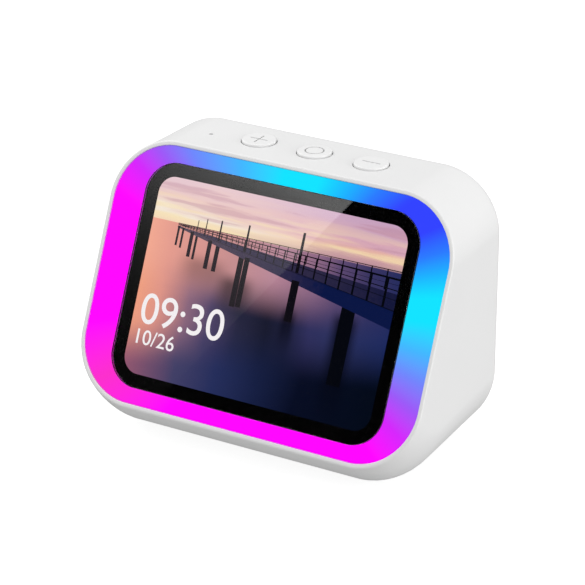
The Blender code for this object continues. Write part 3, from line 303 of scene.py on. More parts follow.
# %% Wires and finishes
def tint(code):
    """A colour given as six hexadecimal digits, as light."""
    parts = [int(code[i : i + 2], 16) / 255 for i in (0, 2, 4)]
    light = [p / 12.92 if p <= 0.04045 else ((p + 0.055) / 1.055) ** 2.4 for p in parts]
    return (*light, 1.0)


class Wire:
    """A shader value that can be used in sums."""

    def __init__(self, finish, socket):
        self.finish, self.socket = finish, socket

    def maths(self, operation, *values):
        return self.finish.node("ShaderNodeMath", {"operation": operation}, dict(enumerate(values)))

    def __add__(self, other):
        return self.maths("ADD", self, other)

    def __sub__(self, other):
        return self.maths("SUBTRACT", self, other)

    def __rsub__(self, other):
        return self.maths("SUBTRACT", other, self)

    def __mul__(self, other):
        return self.maths("MULTIPLY", self, other)

    def __truediv__(self, other):
        return self.maths("DIVIDE", self, other)

    def __gt__(self, other):
        return self.maths("GREATER_THAN", self, other)

    __radd__, __rmul__ = __add__, __mul__


class Finish:
    """A procedural material: one Principled shader and the nodes that feed it."""

    def __init__(self, name, **sockets):
        self.material = bpy.data.materials.new(name)
        self.material.use_nodes = True
        self.tree = self.material.node_tree
        self.shader = self.tree.nodes["Principled BSDF"]
        self.set(**sockets)

    def set(self, **sockets):
        """Feeds the shader's own sockets, named with _ for a space."""
        self.feed(self.shader, {name.replace("_", " "): value for name, value in sockets.items()})

    def feed(self, node, values):
        for name, value in values.items():
            if isinstance(value, Wire):
                self.tree.links.new(value.socket, node.inputs[name])
            else:
                node.inputs[name].default_value = value

    def node(self, kind, settings=None, values=None, output=0):
        made = self.tree.nodes.new(kind)
        for name, value in (settings or {}).items():
            if name == "stops":
                elements = made.color_ramp.elements
                for _ in value[2:]:
                    elements.new(0.5)
                for element, (position, colour) in zip(elements, value):
                    element.position, element.color = position, colour
            else:
                setattr(made, name, value)
        self.feed(made, values or {})
        return Wire(self, made.outputs[output])

    def point(self):
        """The place on the piece, in metres."""
        return self.node("ShaderNodeTexCoord", output="Object")

    def along(self, direction, origin=(0, 0, 0)):
        """How far a point lies along a direction from an origin, in millimetres."""
        away = self.node(
            "ShaderNodeVectorMath", {"operation": "SUBTRACT"}, {0: self.point(), 1: tuple(origin)}
        )
        reach = self.node(
            "ShaderNodeVectorMath",
            {"operation": "DOT_PRODUCT"},
            {0: away, 1: tuple(direction)},
            "Value",
        )
        return reach / MM

    def noise(self, size, detail=2.0, stretch=(1, 1, 1)):
        """Soft noise from 0 to 1 whose grain has the given size in metres."""
        place = {"Vector": self.point(), "Scale": stretch}
        spread = self.node("ShaderNodeMapping", {"vector_type": "POINT"}, place)
        return self.node(
            "ShaderNodeTexNoise", {}, {"Vector": spread, "Scale": 1 / size, "Detail": detail}
        )

    def steps(self, value, low, high):
        """0 below low and 1 above high, with an even blend between them."""
        return self.node(
            "ShaderNodeMapRange",
            {"interpolation_type": "SMOOTHSTEP"},
            {"Value": value, "From Min": low, "From Max": high},
        )

    def ramp(self, value, stops):
        """A colour ramp of (position, six-digit colour) stops."""
        settings = {"stops": [(position, tint(code)) for position, code in stops]}
        return self.node("ShaderNodeValToRGB", settings, {"Fac": value})

    def blend(self, share, first, second):
        """Mixes two colours."""
        values = {0: share, 6: first, 7: second}
        return self.node("ShaderNodeMix", {"data_type": "RGBA"}, values, 2)

    def bump(self, height, depth):
        """Turns a height from 0 to 1 into a surface of that depth in metres."""
        values = {"Height": height, "Distance": depth, "Strength": 1.0}
        return self.node("ShaderNodeBump", {}, values, "Normal")


# %% [markdown]
# ## White moulded plastic
#
# The case is satin ABS: the mould's fine spark-eroded texture scatters the highlight, and the
# colour drifts very slightly where the plastic flowed. A flat colour would look like a drawing.
# Two sizes of noise do it: a broad one for colour, and one a fifth of a millimetre across for the
# bump and the roughness.

# %% Plastic finishes
def moulded(name, light, dark, roughness, grain, depth, **sockets):
    """Moulded plastic with a fine texture."""
    made = Finish(name, IOR=1.5, **sockets)
    texture = made.noise(grain, 3.0)
    drift = made.noise(0.018, 1.0)
    made.set(
        Base_Color=made.blend(drift, tint(light), tint(dark)),
        Roughness=roughness + (texture - 0.5) * 0.12,
        Normal=made.bump(texture, depth),
    )
    return made.material


CASE_WHITE = moulded("case_white", "D8D8D8", "D5D5D5", 0.48, 0.22 * MM, 0.006 * MM)
KEY_WHITE = moulded("key_white", "DCDCDC", "D9D9D9", 0.42, 0.20 * MM, 0.004 * MM)
# The sign grey is painted shade: it goes on the floor of each key's sunk sign, where shade falls.
SIGN_PAINTED_SHADE = moulded("sign_painted_shade", "A4A4A4", "9A9A9A", 0.6, 0.15 * MM, 0.01 * MM)
TRAY_BLACK = moulded("tray_black", "1A1A1C", "242426", 0.6, 0.3 * MM, 0.01 * MM)
BORDER_BLACK = moulded(
    "border_black", "060606", "090909", 0.5, 0.1 * MM, 0.001 * MM, Specular_IOR_Level=0.0
)

# %% [markdown]
# ## The case
#
# The white shell is one moulding. Its rim frames the face, a curved lip runs under the face and
# flows into the flat underside, the top runs back level, and a generous radius rolls it all into
# the upright rear. It could be cut from a block with Booleans, but the lip would show facets.
# Here the shell is a loop of outlines: out from the rim, back along the lip, round the rear edge,
# in at the cover's seat, and forward again inside the wall.

# %% The shell's measures
FACE_CORNER = 17.4 * MM
SIDE_TAPER = 1.0 * MM
REAR_CORNER, REAR_LOW_CORNER = 16.6 * MM, 19.0 * MM
REAR_ROUND = 5.2 * MM
LIP_DROP, LIP_ANGLE = RIM_BOTTOM.z - BASE_Z, math.radians(57.0)
LIP_RADIUS = LIP_DROP / (1 - math.cos(LIP_ANGLE))
LIP_CENTRE_Y = FRONT_Y + LIP_RADIUS * math.sin(LIP_ANGLE)
WALL, RIM_WALL, POCKET_DEPTH = 2.0 * MM, 1.1 * MM, 3.5 * MM
COVER_SEAT, COVER_LEDGE = 2.5 * MM, 3.0 * MM
LEDGE_THICK, LEDGE_SLOPE = 1.2 * MM, 0.4 * MM
TOP_RUN = 5.0 * MM
print("lip drops", round(LIP_DROP / MM, 2), "mm on a radius of", round(LIP_RADIUS / MM, 2), "mm")


def lip_section(share, inset):
    """The case's outline part of the way along the curved lip."""
    angle, radius = LIP_ANGLE * (1 - share), LIP_RADIUS - inset
    low = Vector(
        (0, LIP_CENTRE_Y - radius * math.sin(angle), BASE_Z + LIP_RADIUS - radius * math.cos(angle))
    )
    high = Vector((0, RIM_TOP.y + inset + TOP_RUN * share, TOP_Z - inset))
    along = (low.y - FRONT_Y) / (REAR_Y - FRONT_Y)
    return (
        FACE_WIDTH - along * 2 * SIDE_TAPER - 2 * inset,
        (high - low).length,
        FACE_CORNER + along * (REAR_CORNER - FACE_CORNER) - inset,
        plane((low + high) / 2, RIGHT, (high - low).normalized()),
        FACE_CORNER + along * (REAR_LOW_CORNER - FACE_CORNER) - inset,
    )


def rear_section(inset, depth):
    """An outline parallel to the rear wall, set in from its edge. It faces forward."""
    place = Matrix.Translation((0, REAR_Y - depth, (BASE_Z + TOP_Z) / 2)) @ FORWARD
    return (
        FACE_WIDTH - 2 * SIDE_TAPER - 2 * inset,
        TOP_Z - BASE_Z - 2 * inset,
        REAR_CORNER - inset,
        place,
        REAR_LOW_CORNER - inset,
    )


def face_section(inset, depth):
    """An outline parallel to the face, set in from the rim."""
    size = (FACE_WIDTH - 2 * inset, FACE_HEIGHT - 2 * inset, FACE_CORNER - inset)
    return (*size, sunk(FACE, depth))


FORWARD = plane(Vector((0, 0, 0)), RIGHT, UPRIGHT)

# %% The shell
LIP_CUTS, ROUND_CUTS, INNER_CUTS = 12, 10, 6
sections = [face_section(WALL, POCKET_DEPTH), face_section(RIM_WALL, POCKET_DEPTH)]
sections += [face_section(RIM_WALL, 0), face_section(0, 0)]
rim_inner, rim_outer = 2, 3
sections += [lip_section(i / LIP_CUTS, 0) for i in range(1, LIP_CUTS + 1)]
for i in range(ROUND_CUTS + 1):
    turn = math.pi / 2 * i / ROUND_CUTS
    sections.append(
        rear_section(REAR_ROUND * (1 - math.cos(turn)), REAR_ROUND * (1 - math.sin(turn)))
    )
rear_mouth = len(sections) - 1
sections += [
    rear_section(REAR_ROUND, COVER_SEAT),
    rear_section(REAR_ROUND + COVER_LEDGE, COVER_SEAT),
    rear_section(REAR_ROUND + COVER_LEDGE, COVER_SEAT + LEDGE_THICK),
    rear_section(WALL, COVER_SEAT + LEDGE_THICK + LEDGE_SLOPE),
]
sections += [lip_section(i / INNER_CUTS, WALL) for i in range(INNER_CUTS, 1, -1)]
shell = loft(
    "case_shell",
    sections,
    closed=True,
    rounded={rim_inner: 0.25 * MM, rim_outer: 0.45 * MM, rear_mouth: 0.25 * MM},
    finish=CASE_WHITE,
)
print("shell:", len(shell.data.polygons), "faces")

# %% [markdown]
# Every hole in a moulding has a broken edge, because a dead sharp one chips and cuts. The cutters
# for the key wells and the microphone hole therefore flare at the top along a small quarter arc,
# and the Boolean leaves that arc as the hole's rounded edge.

# %% Key wells, microphone hole and foot recess
KEYS = ("volume_up_button", "mode_button", "volume_down_button")
KEY_BODIES = ("volume_up_key", "mode_key", "volume_down_key")
key_boxes = [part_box(name) for name in KEYS]
KEY_PLACES = [Vector(((low.x + high.x) / 2, (low.y + high.y) / 2, 0)) for low, high in key_boxes]
KEY_RADIUS = 4.5 * MM
KEY_TOP = key_boxes[0][1].z
mic_low, mic_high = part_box("mic_boot")
MIC_PLACE = Vector(((mic_low.x + mic_high.x) / 2, (mic_low.y + mic_high.y) / 2, 0))
MIC_RADIUS, MIC_EDGE = 0.56 * MM, 0.08 * MM
WELL_CLEARANCE, WELL_EDGE, WELL_REACH = 0.2 * MM, 0.2 * MM, 2 * WALL


def bore(radius, edge, top, reach):
    """The profile of a cutter that leaves a hole with a rounded edge at its top."""
    flare = bow(radius + edge, top - edge, edge, 180, 90)
    above, below = top + reach, top - reach
    return [(0, below), (radius, below)] + flare + [(radius + edge, above), (0, above)]


for place in KEY_PLACES:
    profile = bore(KEY_RADIUS + WELL_CLEARANCE, WELL_EDGE, TOP_Z, WELL_REACH)
    carve(shell, turned("well", profile, Matrix.Translation(place)))
profile = bore(MIC_RADIUS, MIC_EDGE, TOP_Z, WELL_REACH)
carve(shell, turned("mic_hole", profile, Matrix.Translation(MIC_PLACE), 32))

foot_low, foot_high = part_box("foot_pad")
foot_middle = (foot_low + foot_high) / 2
UNDER = plane(Vector((0, foot_middle.y, BASE_Z)), RIGHT, Vector((0, -1, 0)))
foot_size = foot_high - foot_low
FOOT_CORNER = 8.0 * MM


def slab(
    name, width, height, corner, front, rear, place, edge=0.0, finish=None, low_corner=None
):
    """A flat piece with a rounded outline, from one depth to another, with rounded edges."""
    sections = [
        (width, height, corner, sunk(place, depth), low_corner) for depth in (front, rear)
    ]
    return loft(name, sections, rounded={0: edge, 1: edge} if edge else None, finish=finish)


GAP = 0.3 * MM
recess = slab(
    "recess",
    foot_size.x + 2 * GAP,
    foot_size.y + 2 * GAP,
    FOOT_CORNER + GAP,
    -1 * MM,
    0.8 * MM,
    UNDER,
)
carve(shell, recess)
settle(shell, "housing", "white_plastic", "housing_shell")

# %% [markdown]
# ## The light ring
#
# The ring is a milky diffuser, pressed into the rim's pocket, with a row of colour LEDs behind it.
# What one sees is the light and not the plastic. Lamps behind a translucent solid would be the
# true way, but noisy and slow. The plastic here gives off the light itself: the angle round
# the face picks the colour from a ramp, so neighbouring colours melt into each other as they do
# between LEDs.

# %% The ring's glow
MAGENTA, ROSE, ORCHID, VIOLET = "FC00F8", "F42CC6", "CE24F4", "9854F0"
PERIWINKLE, SKY_BLUE, CYAN = "6C82F5", "40B0F8", "0DDCFA"
AZURE, BLUE, ULTRAMARINE = "1AA8FA", "2878FC", "3040F8"
RING_COLOURS = [
    (-180, MAGENTA),
    (-162, MAGENTA),
    (-145, ROSE),
    (-122, MAGENTA),
    (-38, MAGENTA),
    (-28, ORCHID),
    (-20, VIOLET),
    (-12, PERIWINKLE),
    (-4, SKY_BLUE),
    (5, CYAN),
    (13, CYAN),
    (20, AZURE),
    (25, BLUE),
    (32, ULTRAMARINE),
    (43, ULTRAMARINE),
    (52, BLUE),
    (60, AZURE),
    (74, CYAN),
    (92, CYAN),
    (113, SKY_BLUE),
    (131, PERIWINKLE),
    (140, VIOLET),
    (148, ORCHID),
    (158, MAGENTA),
    (180, MAGENTA),
]


def glow():
    made = Finish("ring_glow", Specular_IOR_Level=0.03, Roughness=0.45, Emission_Strength=1.0)
    across = made.along(RIGHT, FACE_CENTRE)
    up = made.along(UP_FACE, FACE_CENTRE)
    angle = up.maths("ARCTAN2", up, across) / (2 * math.pi) + 0.5
    stops = [((degrees + 180) / 360, code) for degrees, code in RING_COLOURS]
    colour = made.ramp(angle, stops)
    grain = made.noise(0.5 * MM, 2.0)
    made.set(
        Base_Color=made.blend(0.92, colour, tint("000000")),
        Emission_Color=colour,
        Roughness=0.42 + grain * 0.1,
        Normal=made.bump(grain, 0.002 * MM),
    )
    return made.material


RING_GLOW = glow()

# %% The ring's body
RING_SINK, RING_THICK, RING_GAP = 0.2 * MM, 3.0 * MM, 0.15 * MM
GLASS_WIDTH, GLASS_HEIGHT, GLASS_CORNER = 80.4 * MM, 59.3 * MM, 8.8 * MM
GLASS_SINK, GLASS_THICK = 0.2 * MM, 1.2 * MM
SEAT_WIDTH, SEAT_HEIGHT, SEAT_CORNER = 76.2 * MM, 55.0 * MM, 6.3 * MM
ring_inset = RIM_WALL + RING_GAP
glass_seat = GLASS_SINK + GLASS_THICK + GAP


RING_REAR = RING_SINK + RING_THICK
opening = (GLASS_WIDTH + 2 * RING_GAP, GLASS_HEIGHT + 2 * RING_GAP, GLASS_CORNER + RING_GAP)
seat = (SEAT_WIDTH, SEAT_HEIGHT, SEAT_CORNER)
sections = [
    (*seat, sunk(FACE, RING_REAR)),
    (*seat, sunk(FACE, glass_seat)),
    (*opening, sunk(FACE, glass_seat)),
    (*opening, sunk(FACE, RING_SINK)),
    face_section(ring_inset, RING_SINK),
    face_section(ring_inset, RING_REAR),
]
ring_edges = {3: 0.25 * MM, 4: 0.25 * MM}
ring = loft("glow_ring", sections, closed=True, rounded=ring_edges, finish=RING_GLOW)
settle(ring, "housing", "diffuser", "light_ring")

# %% [markdown]
# ## The cover glass
#
# A real cover lens is clear glass, with a black border printed on its back that hides the edges
# of the panel. Painting the border on the front would hide the depth that one sees at the
# window's edge. So the glass is a clear slab with ground edges, the print is a thin frame right
# behind it, and the panel is behind that. The glass casts no shadow, so lamps reach what is
# behind it without noise.

# %% Glass and printed border
GLASS = Finish("clear_glass", Base_Color=(1, 1, 1, 1), IOR=1.45, Transmission_Weight=1.0)
smear = GLASS.noise(14 * MM, 3.0)
GLASS.set(Roughness=0.001 + smear * 0.004)

glass = slab(
    "clear_cover_glass",
    GLASS_WIDTH,
    GLASS_HEIGHT,
    GLASS_CORNER,
    GLASS_SINK,
    GLASS_SINK + GLASS_THICK,
    FACE,
    0.15 * MM,
    GLASS.material,
)
glass.visible_shadow = False
settle(glass, "housing", "black_glass", "cover_glass")

WINDOW_WIDTH, WINDOW_HEIGHT, WINDOW_CORNER = 73.0 * MM, 52.0 * MM, 4.7 * MM
PRINT_DEPTH, PRINT_THICK = 1.42 * MM, 0.06 * MM


def framed_plate(name, outer, inner, front, rear, place, finish):
    """A flat frame: an outer and an inner rounded rectangle, as (width, height, corner)."""
    sections = [
        (*size, sunk(place, depth))
        for size, depth in ((outer, front), (outer, rear), (inner, rear), (inner, front))
    ]
    return loft(name, sections, closed=True, finish=finish)


border = framed_plate(
    "printed_border",
    (GLASS_WIDTH - 0.1 * MM, GLASS_HEIGHT - 0.1 * MM, GLASS_CORNER),
    (WINDOW_WIDTH, WINDOW_HEIGHT, WINDOW_CORNER),
    PRINT_DEPTH,
    PRINT_DEPTH + PRINT_THICK,
    FACE,
    BORDER_BLACK,
)
settle(border, "housing", "black_glass")

# %% [markdown]
# ## The picture
#
# The panel shows a quiet evening: a pale sky over a sea that turns from peach to navy, a long
# jetty, and the time and date. A stored picture would be a second file, and the script would no
# longer stand alone. The sky and water are instead a finish on the panel itself, with one colour
# ramp for each of a few rows, and the jetty and digits are thin plates just above it.

# %% Sky and water
HORIZON = 14.6
SKY_LEFT = [
    (0.0, "F9DCBA"),
    (0.14, "F8E4C2"),
    (0.24, "F8EBDA"),
    (0.38, "F2D6CA"),
    (0.55, "F0CDC4"),
    (0.75, "ECCACA"),
    (1.0, "E8C8D0"),
]
SKY_RIGHT = [
    (0.0, "8E6E7E"),
    (0.04, "C79DA0"),
    (0.12, "DCB0AA"),
    (0.2, "EFC2A4"),
    (0.32, "E9B4AC"),
    (0.5, "DCABBC"),
    (0.75, "D2A8BF"),
    (1.0, "CDA6C4"),
]
WATER_TOP = [
    (0.0, "F8AC94"),
    (0.1, "E99E90"),
    (0.36, "C88E90"),
    (0.53, "B98799"),
    (0.69, "8F6A88"),
    (0.78, "604C74"),
    (0.9, "3A3664"),
    (1.0, "2A2F62"),
]
WATER_MIDDLE = [
    (0.0, "F4A284"),
    (0.08, "E4988A"),
    (0.2, "8D687F"),
    (0.3, "50446A"),
    (0.42, "2A2A44"),
    (0.53, "1A1C30"),
    (0.62, "20223F"),
    (0.7, "323260"),
    (0.8, "2F3462"),
    (1.0, "1F2C62"),
]
WATER_LOW = [
    (0.0, "9A5C74"),
    (0.1, "74506F"),
    (0.2, "434169"),
    (0.36, "27305E"),
    (0.53, "182145"),
    (0.7, "080E24"),
    (1.0, "040B1A"),
]
PILE_SHADOWS = [
    (-19.0, 9.5, 9.0, -3.0, 0.42),
    (-9.0, 7.0, 6.0, -9.0, 0.7),
    (8.0, 3.0, 1.0, -13.0, 0.7),
    (24.0, 5.0, 3.0, -32.0, 0.9),
]


def evening():
    made = Finish("evening_picture", Roughness=0.3, Specular_IOR_Level=0.0, Emission_Strength=1.0)
    across = made.along(RIGHT, FACE_CENTRE)
    up = made.along(UP_FACE, FACE_CENTRE)
    share = across / (WINDOW_WIDTH / MM) + 0.5
    streaks = made.noise(3.2 * MM, 3.0, (0.1, 1, 1)) - 0.5
    height = (up - HORIZON + streaks * 11.0 * made.steps(up, HORIZON, HORIZON + 4.0)) / 11.4
    sky = made.blend(
        made.steps(across, -24.0, 30.0), made.ramp(height, SKY_LEFT), made.ramp(height, SKY_RIGHT)
    )
    clouds = made.noise(2.4 * MM, 4.0, (0.07, 1, 1))
    low_sky = made.steps(up, 26.0, 16.0)
    sky = made.blend(made.steps(clouds, 0.5, 0.6) * low_sky * 0.6, sky, tint("FCE6B8"))
    sky = made.blend(made.steps(clouds, 0.48, 0.38) * 0.45, sky, tint("C08CA2"))
    drift = share + (made.noise(9 * MM, 2.0, (0.3, 1, 1)) - 0.5) * 0.06
    top, middle, low = (made.ramp(drift, row) for row in (WATER_TOP, WATER_MIDDLE, WATER_LOW))
    water = made.blend(made.steps(up, 7.0, -5.0), top, middle)
    water = made.blend(made.steps(up - across * 0.12, -6.0, -20.0), water, low)
    for centre, half, start, end, strength in PILE_SHADOWS:
        wide = made.steps((across - centre).maths("ABSOLUTE", across - centre), half, half * 0.2)
        reach = made.steps(up, end, start - 4.0) * made.steps(up, start, start - 4.0)
        water = made.blend(wide * reach * strength, water, tint("04050E"))
    picture = made.blend(up > HORIZON, water, sky)
    made.set(Base_Color=tint("020202"), Emission_Color=picture)
    return made.material


EVENING = evening()


def dress(finish, *names):
    """Gives CAD nodes a finish in place of their plain one."""
    for name in names:
        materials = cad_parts[name].data.materials
        materials.clear()
        materials.append(finish)
    print(finish.name, "on", ", ".join(names))


dress(EVENING, "lcd_panel")

# %% [markdown]
# The jetty is drawn with bars: each is a thin box from one point of the picture to another, and
# may be wider at one end, because near things look bigger. Bars make the deck, the piles, the
# lamp posts and both railings.

# %% Jetty
JETTY_DEPTH, LAYER_THICK = 1.62 * MM, 0.03 * MM


def bar(bm, start, end, width, end_width=None, depth=JETTY_DEPTH):
    """A thin bar from start to end, in millimetres on the face, wider or narrower at its end."""
    line = Vector(end) - Vector(start)
    middle = (Vector(start) + Vector(end)) / 2
    turn = Matrix.Rotation(math.atan2(line.y, line.x), 4, "Z")
    place = sunk(FACE, depth) @ Matrix.Translation((middle.x * MM, middle.y * MM, 0)) @ turn
    verts = bmesh.ops.create_cube(bm, size=1.0)["verts"]
    for vert in verts:
        wide = width if vert.co.x < 0 or end_width is None else end_width
        vert.co = (vert.co.x * line.length * MM, vert.co.y * wide * MM, vert.co.z * LAYER_THICK)
    bmesh.ops.transform(bm, matrix=place, verts=verts)


def between(start, end, x):
    """The height of a line at x."""
    return start[1] + (end[1] - start[1]) * (x - start[0]) / (end[0] - start[0])


def lit(name, low, high, origin=-30.0, reach=67.0):
    """A picture layer that gives off light, from one colour on the left to another on the right."""
    made = Finish(name, Roughness=0.4, Specular_IOR_Level=0.0, Emission_Strength=1.0)
    share = (made.along(RIGHT, FACE_CENTRE) - origin) / reach + (made.noise(1.5 * MM) - 0.5) * 0.2
    made.set(Base_Color=tint("020202"), Emission_Color=made.ramp(share, [(0, low), (1, high)]))
    return made.material


FAR_END, NEAR_FASCIA_TOP, NEAR_FASCIA_LOW = (-28.8, 14.0), (37.2, 4.8), (37.2, 1.4)
NEAR_RAIL, FAR_RAIL = (37.2, 12.9), (37.2, 15.0)
FAR_DECK = (37.2, 9.6)

deck_bm = bmesh.new()
bar(deck_bm, (-28.8, 13.7), (37.2, 2.6), 0.5, 4.6)
deck = piece_from(deck_bm, "picture_jetty_side", lit("jetty_side", "5A4A58", "0C1846", reach=46.0))

planks_bm = bmesh.new()
bar(planks_bm, (-27.0, 13.6), (37.2, 7.0), 0.15, 4.6, JETTY_DEPTH + 0.04 * MM)
planks = piece_from(planks_bm, "picture_jetty_deck", lit("jetty_deck", "463C54", "14183C"))

dark_bm = bmesh.new()
PILES = [
    (-28.4, 8.8, 0.6),
    (-27.0, 8.4, 0.6),
    (-24.2, 6.6, 1.0),
    (-22.7, 6.2, 0.7),
    (-18.5, 4.6, 1.2),
    (-16.0, 4.4, 1.2),
    (-8.6, -3.2, 1.6),
    (-6.9, -3.0, 1.5),
    (8.0, -3.6, 2.2),
    (24.2, -16.5, 3.9),
]
for x, foot, width in PILES:
    bar(dark_bm, (x, between(FAR_END, NEAR_FASCIA_LOW, x)), (x, foot), width)
LAMPS = [
    (-23.0, 16.4, 0.2),
    (-20.5, 17.2, 0.25),
    (-16.2, 17.6, 0.4),
    (-8.1, 18.0, 0.5),
    (7.8, 19.2, 0.7),
]
for x, tip, width in LAMPS:
    bar(dark_bm, (x, between(FAR_END, NEAR_FASCIA_TOP, x)), (x, tip), width * 1.3, width)
for top, foot, thin, thick, first in (
    (NEAR_RAIL, NEAR_FASCIA_TOP, 0.14, 0.7, 0.7),
    (FAR_RAIL, FAR_DECK, 0.1, 0.4, 0.55),
):
    x, pace = -28.0, first
    while x < 36.8:
        width = thin + (thick - thin) * ((x + 28.8) / 66.0) ** 1.4
        bar(
            dark_bm,
            (x, between(FAR_END, foot, x)),
            (x, between((-28.8, 14.6), top, x)),
            width,
        )
        x, pace = x + pace, pace * 1.07
    for share in (1.0, 0.66, 0.36):
        near = foot[1] + (top[1] - foot[1]) * share
        far = 14.0 + 0.6 * share
        bar(dark_bm, (-28.8, far), (37.2, near), thin, thick * 0.55 * share)
bar(dark_bm, (-28.8, 13.75), (37.2, 4.9), 0.12, 0.5)
post_finish = lit("jetty_posts", "2A2028", "05070F", reach=46.0)
posts = piece_from(dark_bm, "picture_jetty_posts", post_finish)
for layer in (deck, planks, posts):
    settle(layer, "housing", "display")

# %% [markdown]
# The clock is set in plain digits. A text object gives them, made heavier with its offset; it is
# turned into a mesh first and only then scaled and laid on the face, so the piece itself stays
# at the origin.

# %% Clock and date
DIGIT_DEPTH = 1.56 * MM


def digits(name, words, left, low, width, height, weight):
    """Digits on the screen, in millimetres: lower left corner, width and height."""
    text = bpy.data.curves.new(name, "FONT")
    text.body, text.offset, text.extrude = words, weight, 0.5
    holder = bpy.data.objects.new("holder", text)
    bpy.context.scene.collection.objects.link(holder)
    bpy.context.view_layer.update()
    graph = bpy.context.evaluated_depsgraph_get()
    flat = bpy.data.meshes.new_from_object(holder.evaluated_get(graph))
    bpy.data.objects.remove(holder, do_unlink=True)
    bm = bmesh.new()
    bm.from_mesh(flat)
    bpy.data.meshes.remove(flat)
    xs, ys = [v.co.x for v in bm.verts], [v.co.y for v in bm.verts]
    bmesh.ops.translate(bm, verts=bm.verts, vec=(-min(xs), -min(ys), 0))
    stretch = (
        width * MM / (max(xs) - min(xs)),
        height * MM / (max(ys) - min(ys)),
        LAYER_THICK,
    )
    bmesh.ops.scale(bm, verts=bm.verts, vec=stretch)
    place = sunk(FACE, DIGIT_DEPTH) @ Matrix.Translation((left * MM, low * MM, 0))
    bmesh.ops.transform(bm, matrix=place, verts=bm.verts)
    made = piece_from(bm, name, DIGIT_LIGHT)
    return settle(made, "housing", "display")


DIGIT_LIGHT = lit("digit_light", "FAF6F8", "FAF6F8")
digits("picture_clock", "09:30", -34.4, -12.8, 24.9, 8.1, 0.002)
digits("picture_date", "10/26", -34.1, -18.2, 11.4, 3.9, 0.002)

# %% [markdown]
# ## The keys
#
# Each key is a round cap that stands half a millimetre out of the top, with a softly broken
# edge and a sign sunk into it. It is turned like a coin on a lathe, and the sign is cut with a
# narrow tool, so light catches the groove's walls. The groove's floor is coloured grey as
# painted shade, for the shade that falls in the sunk sign.

# %% Key caps
SIGN_SIZE, SIGN_LINE, SIGN_DEPTH = 5.2 * MM, 0.42 * MM, 0.2 * MM
key_low = key_boxes[0][0].z
FLANGE_TOP = TOP_Z - WALL - GAP
CAP_EDGE, CAP_FLANGE, STEM_RADIUS = 0.35 * MM, 0.8 * MM, 1.6 * MM
CAP_PROFILE = (
    [(0, KEY_TOP)]
    + bow(KEY_RADIUS - CAP_EDGE, KEY_TOP - CAP_EDGE, CAP_EDGE, 90, 0)
    + [
        (KEY_RADIUS, FLANGE_TOP),
        (KEY_RADIUS + CAP_FLANGE, FLANGE_TOP),
        (KEY_RADIUS + CAP_FLANGE, FLANGE_TOP - CAP_FLANGE),
        (STEM_RADIUS, FLANGE_TOP - CAP_FLANGE),
        (STEM_RADIUS, key_low),
        (0, key_low),
    ]
)


def sign_tools(name, place):
    """The cutters for a key's sign."""
    top = place + Vector((0, 0, KEY_TOP))
    if name == "mode_button":
        outer = SIGN_SIZE / 2
        inner = outer - SIGN_LINE
        outside = [(outer, SIGN_DEPTH), (outer, -SIGN_DEPTH)]
        profile = outside + [(inner, -SIGN_DEPTH), (inner, SIGN_DEPTH)]
        return [turned("groove", profile, Matrix.Translation(top), 48, closed=True)]
    sizes = [(SIGN_SIZE, SIGN_LINE, 2 * SIGN_DEPTH)]
    if name == "volume_up_button":
        sizes.append((SIGN_LINE, SIGN_SIZE, 2 * SIGN_DEPTH))
    tools = []
    for size in sizes:
        bm = bmesh.new()
        block(bm, size, Matrix.Translation(top))
        tools.append(piece_from(bm, "groove"))
    return tools


for name, body, place in zip(KEYS, KEY_BODIES, KEY_PLACES):
    cap = turned(name.replace("button", "cap"), CAP_PROFILE, Matrix.Translation(place), 72)
    cap.data.materials.append(KEY_WHITE)
    cap.data.materials.append(SIGN_PAINTED_SHADE)
    for tool in sign_tools(name, place):
        carve(cap, tool)
    # The groove floor faces get the second finish, a grey that paints in the shade of the sunk
    # sign.
    floor_z = KEY_TOP - SIGN_DEPTH
    for face in cap.data.polygons:
        face.material_index = int(abs(face.center.z - floor_z) < 0.01 * MM and face.normal.z > 0.9)
    settle(cap, body, "key_plastic", name)

# %% [markdown]
# ## The rear cover
#
# The cover drops into the rear opening. It carries the loudspeaker's grille, a slot for the power
# plug and four countersunk screws. A grille could be a bump texture, but a hole that shows no
# depth is at once seen as paint, so each hole is really cut, with one cutter that holds them all.

# %% Rear cover
cover_low, cover_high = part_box("rear_cover")
COVER_SINK = REAR_Y - cover_high.y
COVER_CORNER, COVER_LOW_CORNER = 11.1 * MM, 13.5 * MM
cover = slab(
    "rear_cover_panel",
    cover_high.x - cover_low.x,
    cover_high.z - cover_low.z,
    COVER_CORNER,
    COVER_SINK,
    REAR_Y - cover_low.y,
    REAR,
    0.3 * MM,
    CASE_WHITE,
    COVER_LOW_CORNER,
)


def on_rear(x, z):
    """A point of the rear wall's own plane from its place in the frame."""
    return REAR.inverted() @ Vector((x, REAR_Y, z))


def drill(places, profile, sides):
    """One cutter that has the turned profile at each place of the rear plane."""
    bm = bmesh.new()
    for x, y in places:
        points = [bm.verts.new((x + radius, y, height)) for radius, height in profile]
        edges = [bm.edges.new(pair) for pair in zip(points, points[1:])]
        bmesh.ops.spin(
            bm,
            geom=points + edges,
            axis=(0, 0, 1),
            cent=(x, y, 0),
            angle=2 * math.pi,
            steps=sides,
            use_merge=True,
        )
    bmesh.ops.transform(bm, matrix=REAR, verts=bm.verts)
    return piece_from(bm, "drill")


cone_low, cone_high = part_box("speaker_basket")
grille_middle = on_rear(0, (cone_low.z + cone_high.z) / 2)
GRILLE_PITCH, GRILLE_HOLE = 5.2 * MM, 1.1 * MM
grille = [(grille_middle.x, grille_middle.y)]
for circle in (1, 2):
    for i in range(6 * circle):
        turn = math.radians(60 * i / circle)
        grille.append(
            (
                grille_middle.x + circle * GRILLE_PITCH * math.cos(turn),
                grille_middle.y + circle * GRILLE_PITCH * math.sin(turn),
            )
        )
THROUGH = 6 * MM
carve(cover, drill(grille, bore(GRILLE_HOLE, 0.2 * MM, -COVER_SINK, THROUGH), 24))

